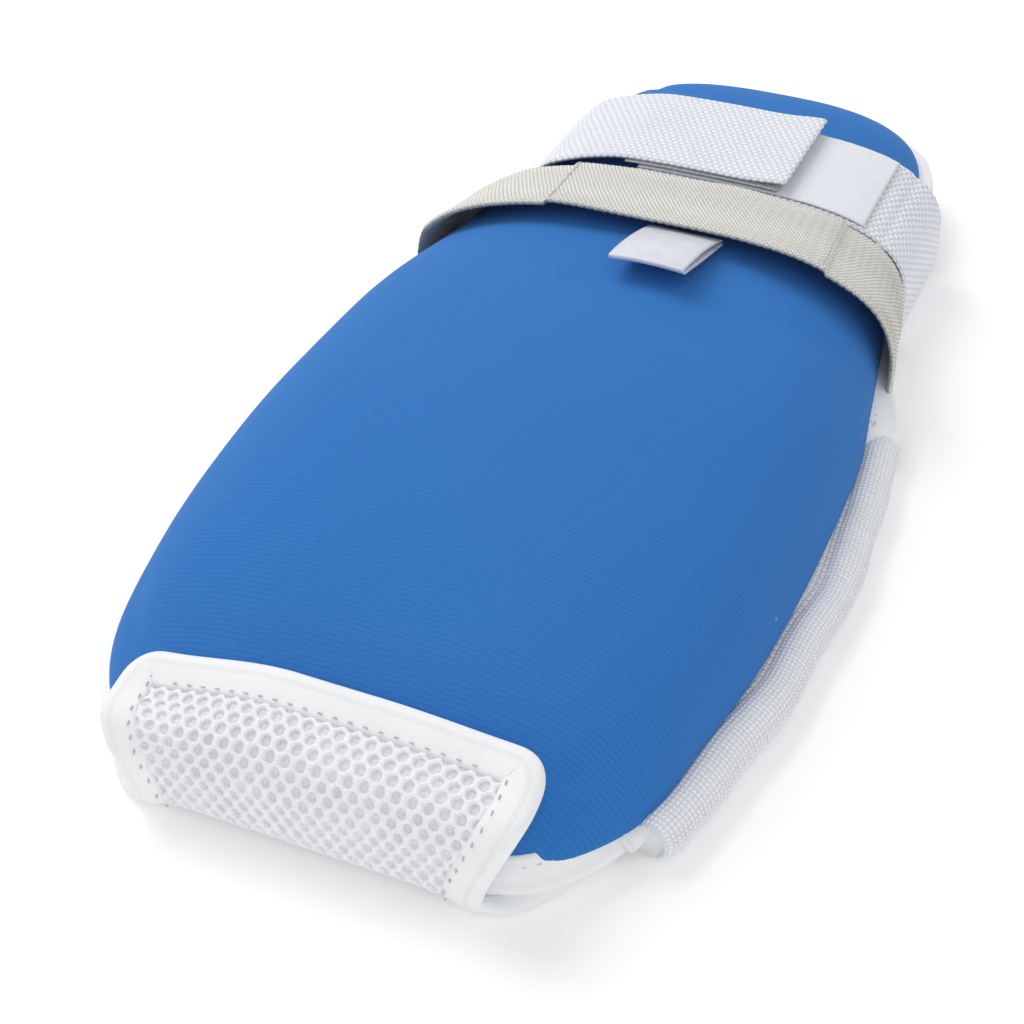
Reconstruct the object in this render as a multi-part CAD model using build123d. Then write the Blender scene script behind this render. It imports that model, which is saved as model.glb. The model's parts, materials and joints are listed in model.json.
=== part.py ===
from build123d import *
import os
from math import cos, radians, sin

# Padded hand mitt lying on its mesh back, palm pad up, millimetres.
# While it is being built, y runs from the finger end to the wrist end; export_node() moves the
# model so that the origin is the middle of its footprint on the surface that it lies on.
# +X is across the hand, +Y towards the wrist and +Z up, away from the mesh back.

# ---- driving dimensions -------------------------------------------------------------------
LENGTH = 310.0
STRAP_WIDTH = 38.0
BAND_WIDTH = 33.0
TAB_WIDTH = 20.0
BINDING_WIDTH = 8.0

MESH_THICK = 2.5
COVER_THICK = 1.6
LINING_THICK = 1.2
BINDING_THICK = 1.5
BINDING_BEND = 2.0                             # least bend of a binding in plan
EDGE_REACH = BINDING_THICK / 2 + 0.5           # a binding's middle stands this far outside its edge
CUFF_REACH = EDGE_REACH + 1.0                  # and further at the tight corners of the cuff
TAPE_THICK = 1.2
BAND_THICK = 1.8
SATIN_THICK = 0.5
PILE_THICK = 0.8
PATCH_THICK = 0.8
CLEAR = 0.3
SKIN = 0.05                                    # free gap under a patch, a stitch or a pile face
FAR = 120.0                                    # reaches past everything that it is cut with

PANEL_BASE = 2.2                               # underside of the mesh back above the surface
PANEL_TOP = PANEL_BASE + MESH_THICK
PAD_BASE = 14.2                                # underside of the foam, top of the lining
LINING_BASE = PAD_BASE - LINING_THICK

# Plan outline of the palm pad and its crown above PAD_BASE: y, half width, crown
PAD_STATIONS = [
    (7.0, 34.0, 4.5), (10.0, 40.0, 7.2), (15.0, 46.0, 10.0), (22.0, 52.0, 13.0),
    (32.0, 57.5, 19.0), (48.0, 62.0, 25.0), (75.0, 66.0, 29.5), (110.0, 67.5, 31.0),
    (145.0, 67.0, 30.0), (172.0, 65.0, 28.0), (190.0, 62.0, 25.5), (205.0, 59.5, 23.5),
    (224.0, 56.5, 21.0), (262.0, 51.0, 19.0), (288.0, 47.5, 17.0), (300.0, 43.0, 13.5),
    (307.0, 36.0, 9.0),
]
PAD_FLATNESS = 2.6                             # exponents of the domed cross section
PAD_ROUNDNESS = 2.0
END_STATIONS = 4                               # this many stations at each end make its bound edge
PAD_BIND_TOP = PAD_BASE + 1.8
ARCH_COUNT = 13                                # points drawn on half a turn of an arch
ARCH_STEP = 180.0 / (ARCH_COUNT - 1)

# Plan outline of the mesh back: y, half width on the +X side. On the -X side the finger half is
# narrower, because there the seam is tucked in under the pad.
PANEL_STATIONS = [
    (3.0, 36.5), (5.5, 40.5), (10.5, 45.5), (19.0, 50.5), (24.0, 53.0), (50.0, 59.1),
    (78.0, 64.0), (110.0, 66.0), (145.0, 64.9), (172.0, 62.4), (190.0, 56.5),
    (222.0, 52.0), (262.0, 49.0), (290.0, 46.5), (301.0, 42.0), (307.2, 36.0),
]
TUCKED_STATIONS = [
    (3.0, 36.5), (5.5, 38.0), (10.5, 39.0), (19.0, 39.8), (24.0, 40.2), (50.0, 50.5),
    (78.0, 59.8), (110.0, 64.8),
] + PANEL_STATIONS[8:]

# Side seams in plan, as x away from the middle; each webbing sleeve is centred on the first stretch
SLEEVE_PATH = [(59.2, 24.0), (65.4, 50.0), (70.4, 78.0), (72.4, 110.0), (71.2, 142.0), (69.0, 172.0)]
TUCKED_PATH = [(46.5, 24.0), (57.0, 50.0), (66.4, 78.0), (72.4, 110.0), (71.2, 142.0), (69.0, 172.0)]
SEAM_TAIL = [(61.4, 190.0), (57.4, 206.0), (54.0, 221.5)]
SLEEVE_RADIUS = 5.2
SLEEVE_WALL = 1.3
SLEEVE_SLOT = 2.6
SLEEVE_AXIS_Z = SLEEVE_RADIUS
SEAM_INSET = (0.4, 1.6)                        # the seam starts this far inside its sleeve
SEAM_BEND = 60.0                               # radius of the gentle bends along the side
SEAM_WALL = 5.2                                # thickness of the stitched seam allowance
SEAM_FIN_Z = 5.9                               # its bound edge reaches into the sleeve here
SEAM_FIN_OUT = 2.2
SEAM_FIN_THICK = 1.2
STITCH_LEAN = 128.0                            # degrees round the sleeve from its outer side

# Finger flap, in the y-z plane: it rises at the nose and folds over onto the pad
HINGE_Y = 2.6
HINGE_Z = 8.85
FLAP_PROFILE = [(HINGE_Y, HINGE_Z), (HINGE_Y, 17.0), (5.9, 24.6), (21.0, 30.2)]
FLAP_BEND = 8.0
FLAP_CORNER = 7.0
FLAP_LOW_HALF = 37.0
FLAP_TOP_HALF = 44.0
FLAP_SHOULDER_Z = 25.5
FLAP_BIND_THICK = 4.0
FOLD_GAP = 2.25
LIP_HALF = 36.0                                # half width of the mesh that turns up at the nose
LOOP_PATCH = (30.0, 12.4, 12.0)                # half width, end along y, lowest z
HOOK_PATCH = (34.0, 17.0, PAD_BASE + 2.5)

# Wrist strap and band
STRAP_Y = 224.0
STRAP_HALF_LEFT = 57.0
STRAP_HALF_RIGHT = 58.5
STRAP_CROWN = 21.5
STRAP_SHAPE = (3.4, 2.6)                       # exponents of its arch on the +X side
SNUG_SHAPE = (2.75, 2.1)                       # and on the -X side, where it hugs the pad
HOOK_HINGE_ANGLE = 140.0                       # degrees round the strap from the +X side
LOOP_HINGE_ANGLE = 38.0
HOOK_END_ANGLE = 78.0
LOOP_END_ANGLE = 100.0
HINGE_CUT = 1.6                                # half the free gap at each strap hinge, degrees
FALL = (103.0, 138.0)                          # past the loop arm the hook arm comes down onto the pad
BAND_Y = 188.0
BAND_HALVES = (65.3, 59.0)                     # inner half width at the finger and wrist edges
BAND_CROWNS = (29.6, 22.8)
BAND_SEAMS = [(107.0, 114.0), (58.0, 56.6)]    # angles round the band where each cross seam starts and ends
BAND_SEAM_STITCHES = 11
CORNER = 6.0

# Satin tab
TAB_ROOT = (187.2, 41.2)                       # y, z of its fold line under the band
TAB_LENGTH = 20.0
TAB_SLOPE = 22.0
TAB_X = 10.0
TAB_THICK = 1.6

# Stitches
THREAD = 0.5
STITCH = 1.6
STITCH_PITCH = 2.5
BIND_STITCH_PITCH = 3.2
SIDE_STITCHES = (12.5, 15.5)                   # heights of the stitches at the sides of the flap


# ---- helpers ------------------------------------------------------------------------------
def export_node(name, shape):
    """Write one node, moved so that the origin is the middle of the footprint."""
    export_step(Pos(0, -LENGTH / 2, 0) * shape, f"parts/{name}.step")


def mirrored(shape):
    """The same piece on the other side of the mitt."""
    return mirror(shape, about=Plane.YZ)


def power(value, exponent):
    """Signed power, for the rounded outlines."""
    return abs(value) ** exponent * (1 if value >= 0 else -1)


def arch_point(angle, y, half, crown, flatness, roundness):
    """Point of an arch over the pad; 0 degrees is its +X foot and 180 its -X foot."""
    turn = radians(angle)
    x = half * power(cos(turn), 2 / flatness)
    return Vector(x, y, PAD_BASE + crown * abs(sin(turn)) ** (2 / roundness))


def strap_point(angle, y, halves, crown):
    """Point of a strap's arch, whose +X and -X sides have their own half widths and shapes."""
    half, shape = (halves[0], STRAP_SHAPE) if angle <= 90 else (halves[1], SNUG_SHAPE)
    return arch_point(angle, y, half, crown, *shape)


def dome_face(y, half, crown):
    """Cross section of the pad: a domed top over a flat base."""
    shape = (PAD_FLATNESS, PAD_ROUNDNESS)
    top = Spline([arch_point(ARCH_STEP * i, y, half, crown, *shape) for i in range(ARCH_COUNT)])
    return make_face(Curve() + [top, Line(top @ 1, top @ 0)])


def dome_solid(shrink, trim, base=0.0):
    """Pad volume lofted through its stations, drawn in by shrink and cut back at both ends by trim."""
    faces = []
    last = len(PAD_STATIONS) - 1
    for i, (y, half, crown) in enumerate(PAD_STATIONS):
        place = y + trim if i == 0 else y - trim if i == last else y
        faces.append(Pos(0, 0, base) * dome_face(place, half - shrink, crown - shrink))
    return loft(faces)


def plan_face(stations, left_stations=None):
    """Plan outline through the (y, half width) stations of its sides, straight across both ends."""
    right = Spline([(half, y) for y, half in stations])
    left = Spline([(-half, y) for y, half in reversed(left_stations or stations)])
    ends = [Line(right @ 1, left @ 0), Line(left @ 1, right @ 0)]
    return make_face(Curve() + [right, left] + ends)


def slab(face, low, high):
    """A plan face extruded from one height to another."""
    return extrude(Pos(0, 0, low) * face, high - low)


def block(x, y, z):
    """Box between two limits on each axis."""
    size = [high - low for low, high in (x, y, z)]
    middle = [(high + low) / 2 for low, high in (x, y, z)]
    return Pos(*middle) * Box(*size)


def edge_line(stations, reach):
    """Points reach millimetres outside the +X edge of an outline, at the given stations."""
    points = []
    last = len(stations) - 1
    for i, (y, half) in enumerate(stations):
        before, after = stations[max(i - 1, 0)], stations[min(i + 1, last)]
        outward = Vector(after[0] - before[0], before[1] - after[1]).normalized()
        points.append((half + outward.X * reach, y + outward.Y * reach))
    return points


def bound_edge(points, low, high):
    """Binding tape standing on edge along plan points."""
    line = FilletPolyline(*points, radius=BINDING_BEND)
    return slab(trace(line, BINDING_THICK), low, high)


def across(points):
    """The same run of plan points on both sides, joined straight across the middle."""
    return list(reversed(points)) + [(-x, y) for x, y in points]


def profile_sheet(points, bends, thick, half_width):
    """A bent sheet: a y-z centreline with rounded bends, thickened and stretched along X."""
    centre = FilletPolyline(*points, radius=bends)
    section = Plane.YZ * trace(centre, thick)
    return extrude(section, half_width, both=True)


def shifted(points, distance):
    """An open run of plane points moved to its right by distance, with mitred corners."""
    runs = [Vector(b[0] - a[0], b[1] - a[1]).normalized() for a, b in zip(points, points[1:])]
    moved = []
    for i, (x, y) in enumerate(points):
        before, after = runs[max(i - 1, 0)], runs[min(i, len(runs) - 1)]
        side = Vector(before.Y + after.Y, -before.X - after.X)
        side *= distance / (1 + before.dot(after))
        moved.append((x + side.X, y + side.Y))
    return moved


def strap_line(angles, gap, fall=0.0):
    """Curve round the wrist strap's arch, gap above its base line; the gap closes by fall to the left."""
    points = []
    for angle in angles:
        lift = gap - fall * min(max((angle - FALL[0]) / (FALL[1] - FALL[0]), 0), 1)
        halves = (STRAP_HALF_RIGHT + lift, STRAP_HALF_LEFT + lift)
        points.append(strap_point(angle, STRAP_Y, halves, STRAP_CROWN + lift))
    return Spline(points)


def arch_sheet(gap, thick, start, stop, y=STRAP_Y, width=STRAP_WIDTH, fall=0.0):
    """A tape lying over the pad between two arch angles."""
    angles = [start + (stop - start) * i / (ARCH_COUNT - 1) for i in range(ARCH_COUNT)]
    inner = Pos(0, y - STRAP_Y, 0) * strap_line(angles, gap, fall)
    outer = Pos(0, y - STRAP_Y, 0) * strap_line(angles, gap + thick, fall)
    ends = [Line(inner @ 0, outer @ 0), Line(inner @ 1, outer @ 1)]
    return extrude(make_face(Curve() + [inner, outer] + ends), width, dir=(0, 1, 0))


def under_sheet(y, left, right, thick, width):
    """The part of a wrist strap below the pad's base: two straight sides and a flat underside."""
    points = [(-left, PAD_BASE), (-left, 0), (right, 0), (right, PAD_BASE)]
    outer = FilletPolyline(*points, radius=CORNER)
    left, right = left - thick, right - thick
    points = [(-left, PAD_BASE), (-left, thick), (right, thick), (right, PAD_BASE)]
    inner = FilletPolyline(*points, radius=CORNER - thick)
    edges = [outer, inner, Line(outer @ 0, inner @ 0), Line(outer @ 1, inner @ 1)]
    face = Plane.XZ * make_face(Curve() + edges)
    return Pos(0, y, 0) * extrude(face, -width)


def band_size(u, grow):
    """Half width and crown of the band's arch at the share u of its width from the finger edge."""
    half, crown = (a + (b - a) * u + grow for a, b in (BAND_HALVES, BAND_CROWNS))
    return half, crown


def band_solid(grow):
    """Solid ring outline of the webbing band, grown outwards by grow, lofted between its edges."""
    faces = []
    low, corner = BAND_THICK - grow, CORNER - BAND_THICK + grow
    for y, u in ((BAND_Y, 0.0), (BAND_Y + BAND_WIDTH, 1.0)):
        half, crown = band_size(u, grow)
        top = Spline([strap_point(ARCH_STEP * i, y, (half, half), crown) for i in range(ARCH_COUNT)])
        under = FilletPolyline(
            (-half, y, PAD_BASE), (-half, y, low), (half, y, low), (half, y, PAD_BASE), radius=corner
        )
        faces.append(make_face(Curve() + [top, under]))
    return loft(faces, ruled=True)


def seam_path(points):
    """Plan path of the side seam as straight runs joined by wide tangent arcs."""
    return FilletPolyline(*[(x, y, 0) for x, y in points], radius=SEAM_BEND)


def section_plane(path):
    """Plane across a plan path at its start, with its x axis outwards and its y axis up."""
    along = path % 0
    return Plane(origin=path @ 0, x_dir=Vector(along.Y, -along.X, 0), z_dir=-along)


def stitch_row(path, pitch, out, up, size):
    """Small thread loops spaced along a plan path, moved out from it and up."""
    count = int(path.length / pitch)
    stitches = []
    for i in range(count):
        u = (i + 0.5) / count
        along = path % u
        outward = Vector(along.Y, -along.X, 0)
        spot = path @ u + outward * out + Vector(0, 0, up)
        stitches.append(Plane(origin=spot, x_dir=along, z_dir=(0, 0, 1)) * Box(*size))
    return stitches


# ---- palm pad -----------------------------------------------------------------------------
def palm_pad():
    outline = plan_face([(y, half) for y, half, crown in PAD_STATIONS])
    outside = dome_solid(0, 0)
    export_node("palm_cover", outside - dome_solid(COVER_THICK, COVER_THICK))
    export_node("palm_foam_core", dome_solid(COVER_THICK + CLEAR, COVER_THICK + CLEAR, 0.1))
    export_node("palm_lining", slab(outline, LINING_BASE, PAD_BASE))

    # The free edges of the pad, at the finger mouth and at the cuff, are bound in tape
    edge = [(y, half) for y, half, crown in PAD_STATIONS]
    mouth = edge_line(edge[:END_STATIONS], EDGE_REACH)
    cuff = edge_line(edge[-END_STATIONS:], CUFF_REACH)
    top = PAD_BIND_TOP
    export_node("palm_mouth_binding", bound_edge(across(mouth), top - BINDING_WIDTH, top))
    export_node("palm_cuff_binding", bound_edge(across(cuff[::-1]), top - BINDING_WIDTH / 2, top))

    # Lockstitches on the face of the mouth binding, where the flap leaves it open
    face = edge_line(edge[:END_STATIONS], EDGE_REACH + BINDING_THICK / 2)
    face_line = Spline([(x, y, 0) for x, y in face])
    size = (STITCH, THREAD, THREAD)
    row = stitch_row(face_line, BIND_STITCH_PITCH, THREAD, PAD_BIND_TOP - 1.0, size)
    export_node("palm_mouth_stitches", Compound(row + [mirrored(stitch) for stitch in row]))

    # Hook patch that holds the closed flap, a thin skin on the pad's nose
    half, end, low = HOOK_PATCH
    skin = dome_solid(-PATCH_THICK, -PATCH_THICK) - dome_solid(-SKIN, -SKIN)
    export_node("palm_hook_patch", skin & block((-half, half), (0, end), (low, FAR)))


# ---- mesh back ----------------------------------------------------------------------------
def mesh_back():
    outline = plan_face(PANEL_STATIONS, TUCKED_STATIONS)
    middle_z = PANEL_BASE + MESH_THICK / 2
    lip_start = HINGE_Y + HINGE_Z - middle_z
    notch = block((-LIP_HALF - CLEAR, LIP_HALF + CLEAR), (0, lip_start), (0, HINGE_Z))
    flat = slab(outline, PANEL_BASE, PANEL_TOP) - notch

    # At the nose the mesh turns up in a quarter circle to meet the flap
    overlap = 0.5
    turn = [(lip_start + 2 * overlap, middle_z), (HINGE_Y, middle_z), (HINGE_Y, HINGE_Z + FOLD_GAP)]
    lip = profile_sheet(turn, lip_start - HINGE_Y - 0.2, MESH_THICK, LIP_HALF)
    lip = lip & block((-FAR, FAR), (0, lip_start + overlap), (0, HINGE_Z - FOLD_GAP))
    export_node("back_mesh_panel", flat + lip)

    # Bound edges: one each side of the flap, and one round the cuff
    low, high = PANEL_BASE - 1.0, PANEL_TOP + 1.0
    right = bound_edge(edge_line(PANEL_STATIONS[:END_STATIONS], EDGE_REACH), low, high)
    left = bound_edge(edge_line(TUCKED_STATIONS[:END_STATIONS], EDGE_REACH), low, high)
    export_node("back_mouth_binding_right", right)
    export_node("back_mouth_binding_left", mirrored(left))
    cuff = edge_line(PANEL_STATIONS[-END_STATIONS:], CUFF_REACH)
    export_node("back_cuff_binding", bound_edge(across(cuff[::-1]), low, high))


# ---- side seams and webbing sleeves -------------------------------------------------------
def side_seam(sleeve_path):
    """One side's seam on the +X side: the stitched allowance between the layers and its bound edge."""
    start = (sleeve_path[0][0] + SEAM_INSET[0], sleeve_path[0][1] + SEAM_INSET[1])
    seam = seam_path([start] + sleeve_path[1:] + SEAM_TAIL)
    wall_out = SLEEVE_RADIUS + CLEAR
    wall_high = LINING_BASE - PANEL_TOP - 4 * SKIN
    wall = Pos(-wall_out - SEAM_WALL / 2, (PANEL_TOP + LINING_BASE) / 2) * Rectangle(SEAM_WALL, wall_high)
    fin_wide = SEAM_FIN_OUT + wall_out + CLEAR
    fin = Pos(SEAM_FIN_OUT - fin_wide / 2, SEAM_FIN_Z) * Rectangle(fin_wide, SEAM_FIN_THICK)
    return sweep(section_plane(seam) * (wall + fin), path=seam)


def side_seams():
    export_node("side_seam_right", side_seam(SLEEVE_PATH))
    export_node("side_seam_left", mirrored(side_seam(TUCKED_PATH)))


def webbing_sleeve(sleeve_path):
    """One webbing sleeve on the +X side, and its stitches."""
    path = seam_path(sleeve_path)
    slot = Pos(-SLEEVE_RADIUS, SEAM_FIN_Z - SLEEVE_AXIS_Z) * Rectangle(2 * SLEEVE_RADIUS, SLEEVE_SLOT)
    section = Circle(SLEEVE_RADIUS) - Circle(SLEEVE_RADIUS - SLEEVE_WALL) - slot
    sleeve = Pos(0, 0, SLEEVE_AXIS_Z) * sweep(section_plane(path) * section, path=path)

    # One row of stitches closes the sleeve, high on the side that faces the pad
    reach = SLEEVE_RADIUS + THREAD
    out, up = reach * cos(radians(STITCH_LEAN)), reach * sin(radians(STITCH_LEAN))
    return sleeve, stitch_row(path, STITCH_PITCH, out, SLEEVE_AXIS_Z + up, (STITCH, THREAD, THREAD))


def webbing_sleeves():
    sleeve, row = webbing_sleeve(SLEEVE_PATH)
    export_node("side_sleeve_right", sleeve)
    export_node("sleeve_stitches_right", Compound(row))
    sleeve, row = webbing_sleeve(TUCKED_PATH)
    export_node("side_sleeve_left", mirrored(sleeve))
    export_node("sleeve_stitches_left", Compound([mirrored(stitch) for stitch in row]))


# ---- finger flap --------------------------------------------------------------------------
def flap_mask(inset):
    """Outline of the flap as a solid: wider towards the top, with rounded top corners."""
    low = FLAP_LOW_HALF - inset
    top = FLAP_TOP_HALF - inset
    front = Polygon(
        (-low, HINGE_Z), (low, HINGE_Z), (top, FLAP_SHOULDER_Z),
        (top, FAR), (-top, FAR), (-top, FLAP_SHOULDER_Z), align=None,
    )
    front = extrude(Plane.XZ * front, -FAR, both=True)
    tip = FLAP_PROFILE[-1][0] - inset
    plan = RectangleRounded(2 * top, FAR, FLAP_CORNER - inset / 2, align=(Align.CENTER, Align.MAX))
    return front & slab(Pos(0, tip) * plan, 0, FAR)


def finger_flap():
    bends = (FLAP_BEND, FLAP_BEND)
    mesh = profile_sheet(FLAP_PROFILE, bends, MESH_THICK, FAR) & flap_mask(BINDING_THICK / 2)
    export_node("flap_mesh", mesh)

    border = profile_sheet(FLAP_PROFILE, bends, FLAP_BIND_THICK, FAR)
    border = (border & flap_mask(0)) - flap_mask(BINDING_WIDTH) - mesh
    export_node("flap_binding", border)

    # Soft loop patch on the inner face of the mesh, round the flap's shoulder
    half, end, low = LOOP_PATCH
    inset = (MESH_THICK + PATCH_THICK) / 2 + SKIN
    inner_bend = FLAP_BEND - inset
    patch = profile_sheet(shifted(FLAP_PROFILE, inset), (inner_bend, inner_bend), PATCH_THICK, half)
    export_node("flap_loop_patch", patch & block((-FAR, FAR), (0, end), (low, FAR)))

    # Stitches on the outer face of the binding: up both sides and across the top
    lift = (FLAP_BIND_THICK + THREAD) / 2 + SKIN
    side_in = BINDING_WIDTH - 1.2
    slope = (FLAP_TOP_HALF - FLAP_LOW_HALF) / (FLAP_SHOULDER_Z - HINGE_Z)
    stitches = []
    for z in SIDE_STITCHES:
        x = FLAP_LOW_HALF + slope * (z - HINGE_Z) - side_in
        stitches += [Pos(side * x, HINGE_Y - lift, z) * Box(THREAD, THREAD, STITCH) for side in (-1, 1)]
    (low_y, low_z), (tip_y, tip_z) = FLAP_PROFILE[2:]
    rise = Vector(tip_y - low_y, tip_z - low_z).normalized()
    outward = Vector(-rise.Y, rise.X)
    row = Vector(tip_y, tip_z) - rise * side_in + outward * lift
    count = int(2 * (FLAP_TOP_HALF - BINDING_WIDTH) / BIND_STITCH_PITCH)
    for i in range(count):
        x = (i - (count - 1) / 2) * BIND_STITCH_PITCH
        place = Plane(origin=(x, row.X, row.Y), x_dir=(1, 0, 0), z_dir=(0, outward.X, outward.Y))
        stitches.append(place * Box(STITCH, THREAD, THREAD))
    export_node("flap_stitches", Compound(stitches))


# ---- wrist strap --------------------------------------------------------------------------
HOOK_GAP = TAPE_THICK + PILE_THICK * 2 + 0.4   # the hook arm lies on top of the loop arm


def wrist_strap():
    fall = HOOK_GAP - CLEAR
    left, right = STRAP_HALF_LEFT + CLEAR + TAPE_THICK, STRAP_HALF_RIGHT + TAPE_THICK
    base = under_sheet(STRAP_Y, left, right, TAPE_THICK, STRAP_WIDTH)
    base += arch_sheet(0, TAPE_THICK, 0, LOOP_HINGE_ANGLE - HINGE_CUT)
    base += arch_sheet(HOOK_GAP, TAPE_THICK, HOOK_HINGE_ANGLE + HINGE_CUT, 180, fall=fall)
    export_node("wrist_strap_base", base)

    start = LOOP_HINGE_ANGLE + HINGE_CUT
    export_node("loop_arm_tape", arch_sheet(0, TAPE_THICK, start, LOOP_END_ANGLE))
    field = {"y": STRAP_Y + 1, "width": STRAP_WIDTH - 2}
    pile = arch_sheet(TAPE_THICK + SKIN, PILE_THICK, start + 5, LOOP_END_ANGLE - 1, **field)
    export_node("loop_arm_pile", pile)

    stop = HOOK_HINGE_ANGLE - HINGE_CUT
    tape = arch_sheet(HOOK_GAP, TAPE_THICK, HOOK_END_ANGLE, stop, fall=fall)
    export_node("hook_arm_tape", tape)
    low, thick = HOOK_GAP - PILE_THICK + 2 * SKIN, PILE_THICK - 3 * SKIN
    hooks = arch_sheet(low, thick, HOOK_END_ANGLE + 1, LOOP_END_ANGLE + 2, **field)
    export_node("hook_arm_hooks", hooks)


# ---- webbing band -------------------------------------------------------------------------
def webbing_band():
    export_node("webbing_band", band_solid(BAND_THICK) - band_solid(0))

    # Two slanted cross seams join the band's ends over the pad
    stitches = []
    for start_angle, end_angle in BAND_SEAMS:
        for i in range(BAND_SEAM_STITCHES):
            u = (i + 0.5) / BAND_SEAM_STITCHES
            half, crown = band_size(u, BAND_THICK + THREAD)
            angle = start_angle + (end_angle - start_angle) * u
            y = BAND_Y + BAND_WIDTH * u
            foot = strap_point(angle, y, (half, half), crown)
            ahead = strap_point(angle - 1, y, (half, half), crown)
            across = (ahead - foot).normalized()
            normal = across.cross(Vector(0, -1, 0))
            stitches.append(Plane(origin=foot, x_dir=across, z_dir=normal) * Box(THREAD, STITCH, THREAD))
    export_node("band_seam_stitches", Compound(stitches))


# ---- satin tab ----------------------------------------------------------------------------
def satin_tab():
    outer = SlotOverall(TAB_LENGTH + TAB_THICK, TAB_THICK)
    inner = SlotOverall(TAB_LENGTH + TAB_THICK - 2 * SATIN_THICK, TAB_THICK - 2 * SATIN_THICK)
    section = Rot(0, 0, 180 - TAB_SLOPE) * Pos(TAB_LENGTH / 2, 0) * (outer - inner)
    tab = extrude(Plane.YZ * Pos(*TAB_ROOT) * section, TAB_WIDTH / 2, both=True)
    export_node("satin_tab", Pos(TAB_X, 0, 0) * tab)


def print_joint_places():
    """Hinge lines in metres, in the exported frame."""
    halves = (STRAP_HALF_RIGHT + TAPE_THICK / 2, STRAP_HALF_LEFT + TAPE_THICK / 2)
    crown = STRAP_CROWN + TAPE_THICK / 2
    loop = strap_point(LOOP_HINGE_ANGLE, STRAP_Y, halves, crown)
    hook = strap_point(HOOK_HINGE_ANGLE, STRAP_Y, [half + CLEAR for half in halves], crown + CLEAR)
    places = {
        "flap": Vector(0, HINGE_Y, HINGE_Z),
        "hook_arm": hook + Vector(0, STRAP_WIDTH / 2, 0),
        "loop_arm": loop + Vector(0, STRAP_WIDTH / 2, 0),
        "tab": Vector(TAB_X, *TAB_ROOT),
    }
    for name, place in places.items():
        print(name, [round(v / 1000, 5) for v in (place.X, place.Y - LENGTH / 2, place.Z)])


os.makedirs("parts", exist_ok=True)
palm_pad()
mesh_back()
side_seams()
webbing_sleeves()
finger_flap()
wrist_strap()
webbing_band()
satin_tab()
print_joint_places()
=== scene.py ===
import json
from math import cos, pi, radians, sin, tan

import bpy
import numpy as np
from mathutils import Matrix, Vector, noise
from mathutils.bvhtree import BVHTree


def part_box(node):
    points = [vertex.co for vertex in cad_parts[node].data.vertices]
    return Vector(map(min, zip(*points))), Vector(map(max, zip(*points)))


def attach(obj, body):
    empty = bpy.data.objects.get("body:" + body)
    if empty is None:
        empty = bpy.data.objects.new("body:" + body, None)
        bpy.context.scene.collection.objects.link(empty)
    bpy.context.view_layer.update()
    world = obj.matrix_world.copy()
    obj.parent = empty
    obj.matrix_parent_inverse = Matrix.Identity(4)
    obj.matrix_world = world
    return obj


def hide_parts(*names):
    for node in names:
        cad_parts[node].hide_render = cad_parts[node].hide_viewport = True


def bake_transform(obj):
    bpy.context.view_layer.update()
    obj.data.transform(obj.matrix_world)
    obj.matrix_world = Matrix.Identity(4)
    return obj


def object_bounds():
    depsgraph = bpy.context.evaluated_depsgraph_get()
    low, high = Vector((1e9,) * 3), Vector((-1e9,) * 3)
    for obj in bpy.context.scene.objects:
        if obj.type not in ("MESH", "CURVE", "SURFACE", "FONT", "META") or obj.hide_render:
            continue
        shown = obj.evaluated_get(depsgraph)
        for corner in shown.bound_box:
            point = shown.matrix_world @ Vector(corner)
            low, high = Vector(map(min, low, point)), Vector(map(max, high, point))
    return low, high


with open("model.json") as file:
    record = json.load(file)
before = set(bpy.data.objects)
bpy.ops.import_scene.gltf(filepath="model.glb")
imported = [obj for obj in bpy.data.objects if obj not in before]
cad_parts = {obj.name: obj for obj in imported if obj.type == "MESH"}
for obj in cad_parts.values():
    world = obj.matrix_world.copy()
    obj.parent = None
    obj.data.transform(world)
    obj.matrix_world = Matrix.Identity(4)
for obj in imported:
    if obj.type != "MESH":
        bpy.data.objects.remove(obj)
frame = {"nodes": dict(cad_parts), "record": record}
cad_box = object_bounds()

# A padded hand mitt lying on its mesh back, palm pad up. Metres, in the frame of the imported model:
# +Y from the fingers to the wrist, +Z up out of the palm pad. Tapes and sheets are built over the
# CAD solids' own surfaces, and each has a UV map in metres, along the piece and across it.

MM = 0.001
JOINTS = {j["name"]: Vector(j["pos_m"]) for j in frame["record"]["behaviour"]["joints"]}

FINGER_END = cad_box[0].y

# ---- sizes of the fabrics -----------------------------------------------------------------
TAPE = 1.2 * MM                     # thickness of the strap tape
GRID = 0.5 * MM                     # spacing of the points on woven tapes
STRAP_DOT = (1.9 * MM, 1.65 * MM)   # pitch of the raised yarns on the strap's woven face
BAND_YARN = (1.15 * MM, 1.0 * MM)   # the same on the webbing band
SLEEVE_RIB = (1.15 * MM, 1.05 * MM)     # pitch of the sleeve's ribs, and of the dots along a rib
SLEEVE_RADIUS = 5.1 * MM
TUBE_POINTS = 52                    # points of the sleeve's tube; those of its flange follow
NET = (3.3 * MM, 2.45 * MM)         # pitch of the holes in the spacer mesh
NET_HOLE = (0.96 * MM, 1.1 * MM)    # half sizes of a hole
BINDING = 8.0 * MM                  # width of the cuffs' bias binding
FLAP_BINDING = 6.6 * MM             # what shows of the flap's binding inside the edge of the mesh
STITCH = 3.2 * MM                   # pitch of the stitches along a binding


# ---- reading the CAD surfaces -------------------------------------------------------------
def tree_over(*meshes):
    """Ray tree over the surfaces of these meshes."""
    points, faces = [], []
    for mesh in meshes:
        start = len(points)
        points += [v.co.copy() for v in mesh.vertices]
        faces += [[start + i for i in p.vertices] for p in mesh.polygons]
    return BVHTree.FromPolygons(points, faces)


def tree_of(*names):
    """Ray tree over the surfaces of these CAD nodes."""
    return tree_over(*(frame["nodes"][name].data for name in names))


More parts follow.
